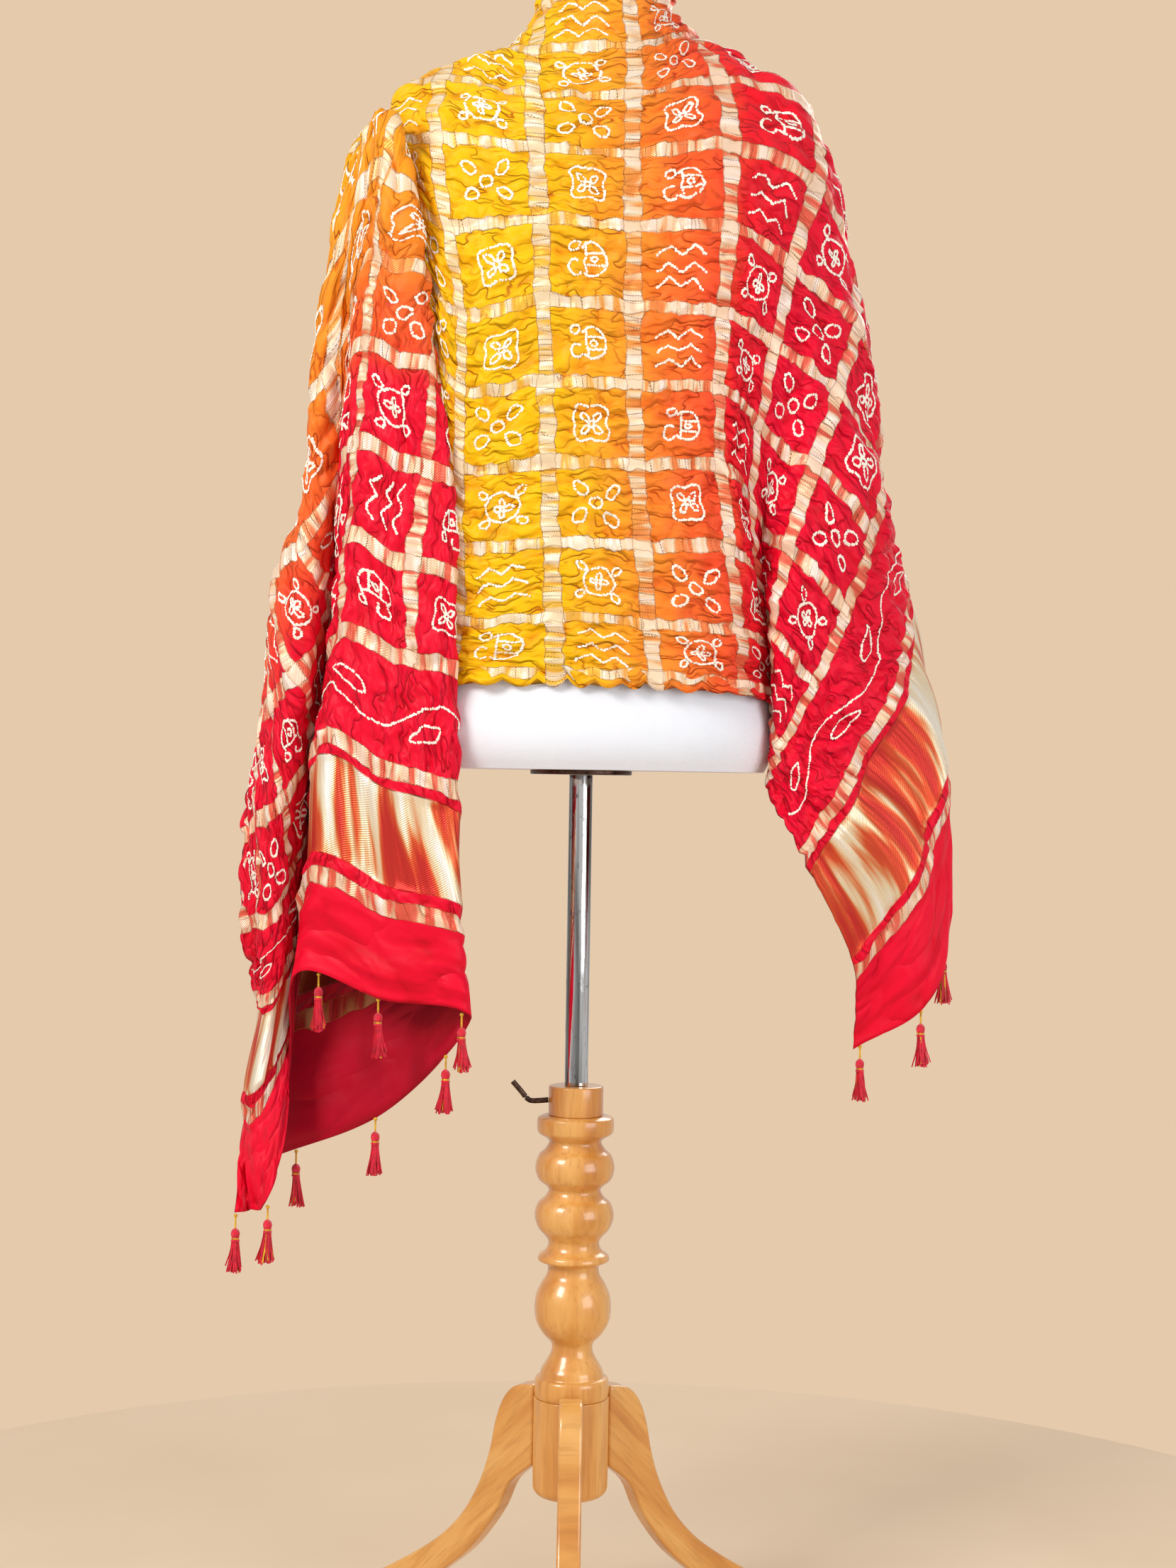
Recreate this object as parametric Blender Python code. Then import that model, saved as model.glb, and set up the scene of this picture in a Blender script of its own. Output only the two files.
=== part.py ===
"""A crinkled bandhani silk shawl, draped on a padded dress form that stands on a turned wooden tripod.

Metres, +Z up. The form's back, which carries the shawl, faces -Y. The stand's axis is x = 0, y = 0
while the pieces are made, and at the end all of them move together so that the frame's origin lies
on the floor under the middle of the whole object.
"""
import math

import bmesh
import bpy
import numpy as np
from mathutils import Matrix, Vector

MM = 0.001

# Driving sizes of the cloth, in millimetres.
CLOTH_THICKNESS = 2.0
CLOTH_CLEARANCE = 1.5
SHOULDER_CLEARANCE = 6.0
SHOULDER_START = 1375.0
SHOULDER_FULL = 1425.0
CELLS_ALONG = 74
CELLS_ACROSS = 30
STANDARD_ROWS = (0.0, 1.2, 2.5, 3.7, 5.0, 6.2, 7.5, 8.8, 10.0)

# Driving sizes of the tassels, in millimetres.
THREAD_RADIUS = 0.9
THREAD_LENGTH = 15.0
HEAD_RADIUS = 4.2
HEAD_LENGTH = 9.0
WAIST_RADIUS = 3.4
SKIRT_LENGTH = 30.0
SKIRT_SPREAD = 6.0
STRANDS = 9
STRAND_GAP = 0.35
SEAT_GAP = 0.3

# Driving sizes of the stand, in millimetres.
POLE_RADIUS = 11.0
POLE_SIDES = 20
COLLAR_TOP = 525.0
COLLAR_FOOT = 497.3
COLLAR_RADIUS = 25.8
BASE_RADIUS = 48.0
BASE_THICKNESS = 4.0
FORM_FOOT = 823.0
FORM_TOP = 1578.0
FORM_SIDES = 30
CAP_RADIUS = 46.0
CAP_THICKNESS = 6.0
HUB_RADIUS = 35.5
HUB_FOOT = 138.0
HUB_CHAMFER = 10.0
HUB_TOP = 231.0
LEG_THICKNESS = 22.0
LEG_ANGLES = {"leg_front": -90.0, "leg_right": 30.0, "leg_left": 150.0}
LEVER_RADIUS = 2.6

# The padded form, from its flat foot to its neck: height, middle and half sizes of each section.
FORM_SECTIONS = [
    # height, middle_x, middle_y, half_width, half_depth
    (823, 0, 0, 172, 110),
    (832, 0, 0, 177, 116),
    (900, 1, 0, 176, 118),
    (960, 2, 0, 160, 108),
    (1040, 3, 3, 136, 94),
    (1120, 4, 6, 138, 98),
    (1200, 5, 10, 148, 112),
    (1280, 7, 8, 156, 112),
    (1350, 8, 0, 168, 100),
    (1400, 9, -2, 180, 82),
    (1430, 9, -2, 186, 66),
    (1450, 9, -2, 182, 54),
    (1463, 10, -2, 163, 47),
    (1476, 11, -1, 125, 44),
    (1488, 12, 0, 88, 44),
    (1500, 13, 0, 63, 46),
    (1515, 14, 0, 51, 46),
    (1545, 15, 0, 47, 45),
    (1578, 15, 0, 47, 45),
]
FORM_SQUARENESS = 2.3

# The shawl's drape. Each entry is the line of the cloth at one column, counted in gold bands along its
# length from the left one on the form's back. Its points run from the lower selvedge, row 0, to the
# upper one, row 10: row, x, y, z. The nine points of the left end follow the same folds all the way.
BACK_AND_RIGHT = {
    -1.0: [(0, -148, -66, 950), (1.2, -138, -84, 1035), (2.5, -138, -90, 1142), (3.7, -142, -94, 1215),
           (5, -150, -94, 1288), (6.2, -176, -66, 1378), (7.5, -195, -5, 1425), (8.8, -158, 45, 1432),
           (10, -98, 58, 1395)],
    0.0: [(0, -120, -95, 903), (1.5, -110, -102, 988), (3, -114, -107, 1097), (5, -113, -112, 1230),
          (6.2, -130, -103, 1328), (7.5, -141, -62, 1430), (8.8, -118, 12, 1482), (10, -60, 38, 1492)],
    1.0: [(0, -23, -118, 901), (1.5, -27, -120, 991), (3, -33, -120, 1098), (4.5, -38, -120, 1206),
          (6, -44, -118, 1315), (7.5, -50, -98, 1410), (9, -52, -45, 1484), (10, -38, -14, 1549)],
    2.0: [(0, 65, -118, 899), (1.5, 55, -120, 986), (3, 45, -120, 1098), (4.5, 41, -120, 1200),
          (6, 39, -118, 1310), (7.5, 37, -98, 1408), (9, 38, -66, 1486), (10, 31, -53, 1546)],
    3.0: [(0, 142, -88, 893), (1.5, 136, -95, 983), (3, 120, -104, 1101), (4.5, 119, -110, 1198),
          (6, 125, -110, 1312), (7.5, 124, -78, 1425), (8.8, 100, -16, 1502), (10, 69, 17, 1545)],
    4.0: [(0, 186, -5, 880), (1.5, 168, -45, 962), (3, 147, -82, 1067), (4.5, 162, -88, 1175),
          (6, 182, -78, 1285), (7.5, 212, -32, 1402), (8.8, 168, 22, 1474), (10, 70, 70, 1480)],
    4.5: [(0, 200, 28, 866), (1.5, 180, -35, 945), (3, 163, -62, 1045), (4.5, 188, -80, 1158),
          (6, 216, -55, 1263), (7.5, 230, 0, 1372), (8.8, 178, 62, 1440), (10, 86, 92, 1450)],
    5.0: [(0, 199, 0, 850), (1.5, 176, -64, 918), (3, 187, -86, 1027), (4.5, 218, -76, 1139),
          (6, 248, -28, 1239), (7.5, 236, 35, 1330), (9, 172, 95, 1398), (10, 102, 112, 1420)],
    6.0: [(0, 178, -50, 813), (1.5, 195, -70, 872), (3, 240, -62, 974), (4.5, 274, -36, 1079),
          (6, 276, 30, 1160), (7.5, 236, 86, 1240), (9, 172, 128, 1310), (10, 112, 145, 1345)],
    7.2: [(0, 204, -70, 747), (1.5, 251, -56, 832), (3, 301, -6, 941), (4.5, 299, 56, 1025),
          (6, 266, 105, 1105), (7.5, 216, 140, 1180), (9, 160, 158, 1235), (10, 116, 164, 1252)],
    9.0: [(0, 258, -22, 638), (1.5, 331, -8, 745), (3, 343, 52, 842), (4.5, 322, 105, 930),
          (6, 278, 140, 1005), (7.5, 228, 160, 1060), (9, 170, 172, 1097), (10, 126, 175, 1110)],
    10.1: [(0, 262, 8, 564), (1.5, 342, 2, 625), (3, 350, 56, 738), (4.5, 335, 114, 828),
           (6, 295, 152, 903), (7.5, 243, 172, 958), (9, 182, 178, 993), (10, 132, 178, 1008)],
}
LEFT_END = {
    # lower selvedge, under layer, right edge, front layer, left lip, valley, ridge, outer side, upper selvedge
    -12.1: [(0, -290, 10, 450), (1.3, -178, -45, 503), (2.6, -100, -106, 597), (3.5, -175, -99, 612),
            (4.5, -255, -66, 632), (6.3, -266, -35, 530), (8, -278, -74, 428), (9.1, -298, -52, 412),
            (10, -313, -62, 410)],
    -11.0: [(0, -302, 20, 566), (1.3, -170, -45, 622), (2.6, -108, -110, 678), (3.5, -177, -103, 697),
            (4.5, -245, -70, 720), (6.4, -262, -22, 600), (8.2, -291, -52, 508), (9.1, -303, -35, 500),
            (10, -306, -12, 498)],
    -9.2: [(0, -246, -4, 712), (1.3, -148, -72, 768), (2.3, -115, -112, 801), (3.3, -174, -105, 821),
           (4.3, -236, -74, 845), (6.4, -252, -8, 722), (8.3, -281, -54, 615), (9.2, -290, -35, 608),
           (10, -294, -8, 606)],
    -8.0: [(0, -207, -30, 800), (1.2, -150, -82, 868), (2.3, -119, -113, 910), (3.2, -165, -107, 922),
           (4.1, -222, -78, 941), (6.2, -246, -6, 825), (8.4, -280, -58, 692), (9.3, -294, -45, 680),
           (10, -307, -25, 672)],
    -7.0: [(0, -200, -42, 885), (1.2, -154, -88, 960), (2.4, -121, -114, 995), (3.3, -174, -108, 1010),
           (4.1, -215, -82, 1027), (6, -236, -8, 905), (8, -276, -64, 790), (9.1, -296, -42, 770),
           (10, -309, -15, 755)],
    -6.0: [(0, -198, -50, 962), (1.2, -158, -86, 1045), (2.5, -123, -112, 1079), (3.4, -168, -113, 1098),
           (4.2, -212, -85, 1112), (5.6, -232, -35, 1005), (7, -262, -65, 907), (8.6, -293, -25, 868),
           (10, -298, 15, 840)],
    -5.0: [(0, -202, -50, 1035), (1.2, -170, -74, 1112), (2.8, -137, -110, 1176), (3.5, -170, -114, 1190),
           (4.2, -208, -88, 1203), (5, -224, -48, 1118), (6, -256, -62, 1029), (8, -283, 15, 985),
           (10, -252, 50, 955)],
    -4.0: [(0, -200, -42, 1085), (1.2, -178, -70, 1165), (3.2, -150, -110, 1262), (3.7, -174, -116, 1272),
           (4.2, -198, -92, 1285), (4.8, -222, -60, 1212), (5.5, -252, -45, 1150), (7.8, -212, 100, 1085),
           (10, -205, 60, 1078)],
    -3.0: [(0, -188, -32, 1072), (1.2, -172, -70, 1178), (3.3, -158, -112, 1322), (3.8, -175, -116, 1346),
           (4.3, -192, -94, 1362), (5, -214, -66, 1325), (5.8, -240, -38, 1262), (7.8, -222, 75, 1210),
           (10, -172, 70, 1185)],
    -2.5: [(0, -180, -34, 1050), (1.2, -172, -54, 1150), (2.9, -166, -84, 1315), (3.9, -177, -92, 1402),
           (4.5, -192, -80, 1418), (5.1, -204, -58, 1402), (6, -232, -25, 1330), (8, -220, 62, 1275),
           (10, -155, 70, 1238)],
    -2.0: [(0, -170, -38, 1015), (1.2, -165, -46, 1110), (2.5, -164, -52, 1215), (3.7, -172, -58, 1310),
           (4.6, -186, -70, 1385), (5.2, -200, -58, 1400), (6.2, -222, -22, 1385), (8, -215, 48, 1335),
           (10, -136, 66, 1290)],
}

# Soft folds that run along the cloth: where each starts and ends, its row, its reach and its height.
FOLDS = [
    # from_column, to_column, row, reach_rows, height
    (-12.0, -8.6, 3.1, 0.22, 6),
    (-12.0, -8.6, 3.65, 0.20, -6),
    (-12.0, -8.8, 4.15, 0.22, 5),
    (-8.0, -4.0, 3.4, 0.30, -5),
    (5.5, 9.8, 1.0, 0.28, 6),
    (6.5, 10.0, 1.7, 0.25, -7),
    (6.0, 10.0, 2.4, 0.30, 6),
    (4.5, 10.0, 5.3, 0.40, -16),
    (5.0, 10.0, 7.0, 0.40, 12),
    (5.0, 10.0, 8.3, 0.40, -14),
    (-6.5, -3.0, 7.0, 0.50, 10),
    (-4.5, -1.0, 8.8, 0.45, -10),
]

# Rows of the end hems at which the tassels are tied.
TASSEL_ROWS_LEFT = (0.3, 1.2, 2.1, 2.75, 3.55, 4.15, 8.2, 9.9)
TASSEL_ROWS_RIGHT = (0.1, 1.05, 1.95, 2.9, 3.85, 4.8, 5.75, 6.7, 7.65, 8.6, 9.3, 9.9)

# The turned column, from its top ring down to the hub: height and radius of each station.
COLUMN_PROFILE = [
    # height, radius
    (497, 30.0), (495, 35.2), (492, 36.2), (484, 36.2), (480, 34.5), (476, 28.0), (472, 24.7),
    (465, 28.5), (459, 34.5), (447.6, 37.5), (437, 34.5), (431, 27.5), (426.5, 24.5),
    (420, 28.0), (414, 34.5), (402.7, 37.5), (391, 34.0), (383, 27.0), (377, 24.0),
    (370, 26.5), (366, 32.0), (363, 33.7), (360, 33.0), (357, 26.0), (353, 24.0),
    (346, 25.5), (338, 30.5), (327, 35.0), (315, 36.2), (303, 34.5), (292, 28.5), (284, 21.0),
    (279, 19.1), (272, 20.5), (264, 25.0), (257, 29.2), (251, 30.5), (250, 33.5), (246, 35.2),
    (236, 35.2), (HUB_TOP + SEAT_GAP, 34.0),
]

# One sawn leg seen from its side: distance from the hub's axis and height, along the outer edge from
# the hub to the toe and back along the inner edge.
LEG_OUTER = [(HUB_RADIUS + SEAT_GAP, 239), (52, 237), (63, 231), (72, 218), (79, 197), (84, 172),
             (94, 142), (111, 110), (134, 84), (160, 64), (190, 45), (215, 30), (232, 18), (238, 8)]
LEG_FOOT = [(236, 0), (200, 0)]
LEG_INNER = [(184, 9), (160, 27), (134, 47), (108, 69), (88, 93), (73, 116), (60, 143),
             (HUB_RADIUS + SEAT_GAP, 163)]

# The bent clamp rod: distance towards -X from the pole's axis, and height.
LEVER_ROUTE = [(COLLAR_RADIUS + SEAT_GAP, 511), (40, 510), (46, 512), (52, 519), (60, 528)]

COLOURS = {
    # slot: red, green, blue, roughness, metallic
    "silk": (0.78, 0.10, 0.04, 0.45, 0.0),
    "tassel_thread": (0.62, 0.02, 0.05, 0.55, 0.0),
    "form_cover": (0.86, 0.87, 0.92, 0.85, 0.0),
    "honey_wood": (0.62, 0.32, 0.08, 0.30, 0.0),
    "bright_steel": (0.75, 0.76, 0.78, 0.12, 1.0),
    "dark_bronze": (0.12, 0.08, 0.06, 0.35, 1.0),
}


def clear_scene():
    """Remove whatever the scene holds."""
    for item in list(bpy.data.objects):
        bpy.data.objects.remove(item, do_unlink=True)


def material(slot):
    """The material of one slot, made once."""
    found = bpy.data.materials.get(slot)
    if found:
        return found
    red, green, blue, roughness, metallic = COLOURS[slot]
    made = bpy.data.materials.new(slot)
    made.use_nodes = True
    shader = made.node_tree.nodes["Principled BSDF"]
    shader.inputs["Base Color"].default_value = (red, green, blue, 1.0)
    shader.inputs["Roughness"].default_value = roughness
    shader.inputs["Metallic"].default_value = metallic
    return made


def add_object(name, mesh, slot):
    """Put a mesh into the scene as one named piece."""
    mesh.materials.append(material(slot))
    piece = bpy.data.objects.new(name, mesh)
    bpy.context.scene.collection.objects.link(piece)
    return piece


def mesh_from(name, points, faces):
    """A mesh in metres from points in millimetres."""
    mesh = bpy.data.meshes.new(name)
    mesh.from_pydata([tuple(float(value) * MM for value in point) for point in points], [], faces)
    mesh.update()
    return mesh


def smooth_between(knots, values, at):
    """Values read at given places from a smooth curve through the knots."""
    knots = np.asarray(knots, float)
    values = np.asarray(values, float)
    at = np.asarray(at, float)
    slopes = np.gradient(values, knots, axis=0)
    span = np.clip(np.searchsorted(knots, at, side="right") - 1, 0, len(knots) - 2)
    width = knots[span + 1] - knots[span]
    t = (at - knots[span]) / width
    shape = (len(at),) + (1,) * (values.ndim - 1)
    t = t.reshape(shape)
    width = width.reshape(shape)
    start = values[span] * (2 * t**3 - 3 * t**2 + 1) + slopes[span] * width * (t**3 - 2 * t**2 + t)
    end = values[span + 1] * (3 * t**2 - 2 * t**3) + slopes[span + 1] * width * (t**3 - t**2)
    return start + end


def form_reach(points):
    """How far out each point lies on the padded form: 1 on its surface, less inside."""
    table = np.array(FORM_SECTIONS, float)
    height = np.clip(points[:, 2], table[0, 0], table[-1, 0])
    middle_x, middle_y, half_width, half_depth = smooth_between(table[:, 0], table[:, 1:], height).T
    across = np.abs((points[:, 0] - middle_x) / half_width) ** FORM_SQUARENESS
    deep = np.abs((points[:, 1] - middle_y) / half_depth) ** FORM_SQUARENESS
    return (across + deep) ** (1.0 / FORM_SQUARENESS)


def lay_on_form(points, rounds=12):
    """Lift every point that would run into the form until it lies clear of it, more so at the shoulders."""
    points = points.copy()
    step = 0.5
    rise = np.clip((points[:, 2] - SHOULDER_START) / (SHOULDER_FULL - SHOULDER_START), 0.0, 1.0)
    clearance = CLOTH_CLEARANCE + (SHOULDER_CLEARANCE - CLOTH_CLEARANCE) * rise + CLOTH_THICKNESS / 2
    for _ in range(rounds):
        reach = form_reach(points)
        slope = np.empty_like(points)
        for axis in range(3):
            shift = np.zeros(3)
            shift[axis] = step
            slope[:, axis] = (form_reach(points + shift) - form_reach(points - shift)) / (2 * step)
        steepness = np.linalg.norm(slope, axis=1) + 1e-9
        distance = (reach - 1.0) / steepness
        lift = np.clip(clearance - distance, 0.0, 25.0)
        over = (points[:, 2] > FORM_FOOT - 1.0) & (points[:, 2] < FORM_TOP + 1.0)
        lift = np.where(over, lift, 0.0)
        points += slope / steepness[:, None] * lift[:, None]
    return points


def drape_lines():
    """The columns of the drape, and for each the row, x, y and z of its nine points."""
    lines = dict(LEFT_END)
    for column, points in BACK_AND_RIGHT.items():
        table = np.array(points, float)
        if len(table) == len(STANDARD_ROWS):
            lines[column] = table
            continue
        places = smooth_between(table[:, 0], table[:, 1:], STANDARD_ROWS)
        lines[column] = np.column_stack([STANDARD_ROWS, places])
    columns = np.array(sorted(lines))
    return columns, np.array([lines[column] for column in columns], float)


def sheet_normals(points):
    """The unit normal at each point of a grid: the mean of the normals of the cells around it."""
    falling = points[1:, 1:] - points[:-1, :-1]
    rising = points[:-1, 1:] - points[1:, :-1]
    cell = np.cross(falling, rising)
    cell /= np.linalg.norm(cell, axis=2, keepdims=True) + 1e-9
    normal = np.zeros_like(points)
    for i, j in ((0, 0), (0, 1), (1, 0), (1, 1)):
        rows_covered = slice(i, i + cell.shape[0])
        normal[rows_covered, j:j + cell.shape[1]] += cell
    return normal / (np.linalg.norm(normal, axis=2, keepdims=True) + 1e-9)


def drape(cells_along, cells_across):
    """Middle surface of the cloth: its columns, its rows and its points, on an even grid."""
    columns, lines = drape_lines()
    folds_at = np.linspace(0, lines.shape[1] - 1, cells_across + 1)
    fine = smooth_between(np.arange(lines.shape[1]), lines.transpose(1, 0, 2), folds_at)
    column_at = np.linspace(columns[0], columns[-1], cells_along + 1)
    fine = smooth_between(columns, fine.transpose(1, 0, 2), column_at)
    rows = fine[:, :, 0]
    points = fine[:, :, 1:]
    normal = sheet_normals(points)
    for start, end, row, reach, height in FOLDS:
        middle = (start + end) / 2
        along = np.clip(1.0 - ((column_at - middle) / (end - start) * 2) ** 2, 0.0, 1.0)
        across = np.exp(-(((rows - row) / reach) ** 2))
        points = points + normal * (height * along[:, None] * across)[:, :, None]
    flat = lay_on_form(points.reshape(-1, 3))
    return column_at, rows, flat.reshape(points.shape)


def make_cloth():
    """The shawl as one closed sheet of even thickness."""
    _, _, middle = drape(CELLS_ALONG, CELLS_ACROSS)
    normal = sheet_normals(middle)
    half = CLOTH_THICKNESS / 2
    outside = (middle + normal * half).reshape(-1, 3)
    inside = (middle - normal * half).reshape(-1, 3)
    long_way, wide_way = middle.shape[:2]
    count = long_way * wide_way
    faces = []
    for i in range(long_way - 1):
        for j in range(wide_way - 1):
            a = i * wide_way + j
            b = a + wide_way
            faces.append((a, b, b + 1, a + 1))
            faces.append((count + a, count + a + 1, count + b + 1, count + b))
    rim = [i * wide_way for i in range(long_way)]
    rim += [(long_way - 1) * wide_way + j for j in range(1, wide_way)]
    rim += [i * wide_way + wide_way - 1 for i in range(long_way - 2, -1, -1)]
    rim += [j for j in range(wide_way - 2, 0, -1)]
    for a, b in zip(rim, rim[1:] + rim[:1]):
        faces.append((b, a, count + a, count + b))
    mesh = mesh_from("cloth", np.vstack([outside, inside]), faces)
    shaped = bmesh.new()
    shaped.from_mesh(mesh)
    bmesh.ops.recalc_face_normals(shaped, faces=shaped.faces)
    shaped.to_mesh(mesh)
    shaped.free()
    mesh.shade_smooth()
    return add_object("cloth", mesh, "silk")


def make_tassel(name, hem_point):
    """One tassel: a thread, a bound head and a skirt of strands that grow from the head."""
    rings = [
        # drop, radius
        (0.0, THREAD_RADIUS),
        (THREAD_LENGTH, THREAD_RADIUS),
        (THREAD_LENGTH + HEAD_LENGTH * 0.35, HEAD_RADIUS),
        (THREAD_LENGTH + HEAD_LENGTH * 0.8, WAIST_RADIUS),
        (THREAD_LENGTH + HEAD_LENGTH, HEAD_RADIUS),
    ]
    shaped = bmesh.new()
    circles = []
    for drop, radius in rings:
        circle = []
        for k in range(STRANDS):
            turn = 2 * math.pi * k / STRANDS
            circle.append(shaped.verts.new((radius * math.cos(turn), radius * math.sin(turn), -drop)))
        circles.append(circle)
    for upper, lower in zip(circles, circles[1:]):
        for k in range(STRANDS):
            following = (k + 1) % STRANDS
            shaped.faces.new((upper[k], upper[following], lower[following], lower[k]))
    shaped.faces.new(circles[0])
    centre = shaped.verts.new((0, 0, -rings[-1][0]))
    wedges = []
    for k in range(STRANDS):
        following = (k + 1) % STRANDS
        wedges.append(shaped.faces.new((circles[-1][k], circles[-1][following], centre)))
    bmesh.ops.recalc_face_normals(shaped, faces=shaped.faces)
    bmesh.ops.inset_individual(shaped, faces=wedges, thickness=STRAND_GAP)
    for tip in bmesh.ops.extrude_discrete_faces(shaped, faces=wedges)["faces"]:
        middle = tip.calc_center_median()
        outward = Vector((middle.x, middle.y, 0)).normalized()
        for corner in tip.verts:
            corner.co += outward * SKIRT_SPREAD
            corner.co.z -= SKIRT_LENGTH
    bmesh.ops.scale(shaped, vec=(MM, MM, MM), verts=shaped.verts)
    bmesh.ops.translate(shaped, vec=Vector(hem_point) * MM, verts=shaped.verts)
    bmesh.ops.recalc_face_normals(shaped, faces=shaped.faces)
    mesh = bpy.data.meshes.new(name)
    shaped.to_mesh(mesh)
    shaped.free()
    return add_object(name, mesh, "tassel_thread")


def make_tassels():
    """The tassels of both ends, each hanging straight down just below the hem."""
    _, rows, middle = drape(CELLS_ALONG, CELLS_ACROSS)

    def on_cloth(line, end, row):
        return Vector([float(np.interp(row, rows[end], middle[line, :, axis])) for axis in range(3)])

    for side, end, inner, tied in (("l", 0, 1, TASSEL_ROWS_LEFT), ("r", -1, -2, TASSEL_ROWS_RIGHT)):
        for number, row in enumerate(tied, start=1):
            place = on_cloth(end, end, row)
            along_hem = (on_cloth(end, end, row + 0.1) - on_cloth(end, end, row - 0.1)).normalized()
            past_hem = place - on_cloth(inner, end, row)
            past_hem = (past_hem - along_hem * past_hem.dot(along_hem)).normalized()
            reach = SEAT_GAP + THREAD_RADIUS * math.hypot(past_hem.x, past_hem.y)
            make_tassel(f"tassel_{side}_{number:02d}", place + past_hem * reach)


def loft(name, sections, sides, slot, squareness=2.0):
    """A closed body through level sections: height, middle_x, middle_y, half_width, half_depth."""
    points = []
    faces = []
    for height, middle_x, middle_y, half_width, half_depth in sections:
        for k in range(sides):
            turn = 2 * math.pi * k / sides
            cosine = math.cos(turn)
            sine = math.sin(turn)
            x = math.copysign(abs(cosine) ** (2 / squareness), cosine) * half_width
            y = math.copysign(abs(sine) ** (2 / squareness), sine) * half_depth
            points.append((middle_x + x, middle_y + y, height))
    for ring in range(len(sections) - 1):
        for k in range(sides):
            a = ring * sides + k
            b = ring * sides + (k + 1) % sides
            faces.append((a, b, b + sides, a + sides))
    faces.append(tuple(range(sides - 1, -1, -1)))
    faces.append(tuple(range((len(sections) - 1) * sides, len(sections) * sides)))
    mesh = mesh_from(name, points, faces)
    mesh.shade_smooth()
    mesh.set_sharp_from_angle(angle=math.radians(50))
    return add_object(name, mesh, slot)


def turned(name, profile, sides, slot):
    """A turned body from its heights and radii."""
    sections = [(height, 0, 0, radius, radius) for height, radius in sorted(profile)]
    return loft(name, sections, sides, slot)


def make_form():
    """The padded form with its neck, the cap on the neck and the plate under it."""
    loft("form_torso", FORM_SECTIONS, FORM_SIDES, "form_cover", FORM_SQUARENESS)
    neck_x = FORM_SECTIONS[-1][1]
    cap_foot = FORM_TOP + SEAT_GAP
    cap = [
        # height, middle_x, middle_y, half_width, half_depth
        (cap_foot, neck_x, 0, CAP_RADIUS, CAP_RADIUS - 2),
        (cap_foot + CAP_THICKNESS * 0.6, neck_x, 0, CAP_RADIUS, CAP_RADIUS - 2),
        (cap_foot + CAP_THICKNESS, neck_x, 0, CAP_RADIUS - 5, CAP_RADIUS - 7),
    ]
    loft("form_cap", cap, POLE_SIDES, "form_cover")
    base_top = FORM_FOOT - SEAT_GAP
    turned("form_base", [(base_top - BASE_THICKNESS, BASE_RADIUS), (base_top, BASE_RADIUS)], POLE_SIDES,
           "dark_bronze")


def make_pole_and_collar():
    """The steel tube, and the wooden collar that it stands in."""
    base_foot = FORM_FOOT - SEAT_GAP - BASE_THICKNESS
    turned("pole", [(COLLAR_TOP + SEAT_GAP, POLE_RADIUS), (base_foot - SEAT_GAP, POLE_RADIUS)], POLE_SIDES,
           "bright_steel")
    turned("pole_collar", [(COLLAR_FOOT, COLLAR_RADIUS), (COLLAR_TOP - 2, COLLAR_RADIUS),
                           (COLLAR_TOP, COLLAR_RADIUS - 2)], POLE_SIDES, "honey_wood")


def make_lever():
    """The bent rod that clamps the pole in its collar."""
    curve = bpy.data.curves.new("clamp_lever", "CURVE")
    curve.dimensions = "3D"
    curve.bevel_depth = LEVER_RADIUS * MM
    curve.bevel_resolution = 2
    curve.use_fill_caps = True
    line = curve.splines.new("POLY")
    line.points.add(len(LEVER_ROUTE) - 1)
    for point, (reach, height) in zip(line.points, LEVER_ROUTE):
        point.co = (-reach * MM, 0.0, height * MM, 1.0)
    curve.materials.append(material("dark_bronze"))
    piece = bpy.data.objects.new("clamp_lever", curve)
    bpy.context.scene.collection.objects.link(piece)
    return piece


def make_hub():
    """The wooden block that takes the three legs."""
    return turned("hub", [(HUB_FOOT, HUB_RADIUS - HUB_CHAMFER), (HUB_FOOT + HUB_CHAMFER, HUB_RADIUS),
                          (HUB_TOP, HUB_RADIUS)], POLE_SIDES, "honey_wood")


def make_leg(name, heading):
    """One sawn leg, cut from a plank and turned to its heading."""
    outline = LEG_OUTER + LEG_FOOT + LEG_INNER
    count = len(outline)
    half = LEG_THICKNESS / 2
    points = [(reach, -half, height) for reach, height in outline]
    points += [(reach, half, height) for reach, height in outline]
    faces = [tuple(range(count)), tuple(range(2 * count - 1, count - 1, -1))]
    for k in range(count):
        following = (k + 1) % count
        faces.append((following, k, count + k, count + following))
    mesh = mesh_from(name, points, faces)
    mesh.transform(Matrix.Rotation(math.radians(heading), 4, "Z"))
    shaped = bmesh.new()
    shaped.from_mesh(mesh)
    bmesh.ops.recalc_face_normals(shaped, faces=shaped.faces)
    shaped.to_mesh(mesh)
    shaped.free()
    return add_object(name, mesh, "honey_wood")


def centre_on_floor():
    """Move all pieces so that the origin is on the floor under the middle of the whole object."""
    bpy.context.view_layer.update()
    corners = []
    pieces = [piece for piece in bpy.data.objects if piece.type in {"MESH", "CURVE"}]
    for piece in pieces:
        corners += [piece.matrix_world @ Vector(corner) for corner in piece.bound_box]
    low = [min(corner[axis] for corner in corners) for axis in range(3)]
    high = [max(corner[axis] for corner in corners) for axis in range(3)]
    shift = Vector((-(low[0] + high[0]) / 2, -(low[1] + high[1]) / 2, -low[2]))
    for piece in pieces:
        piece.location = shift


def main():
    clear_scene()
    make_cloth()
    make_tassels()
    make_form()
    make_pole_and_collar()
    make_lever()
    turned("column", COLUMN_PROFILE, POLE_SIDES, "honey_wood")
    make_hub()
    for name, heading in LEG_ANGLES.items():
        make_leg(name, heading)
    centre_on_floor()


main()
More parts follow.
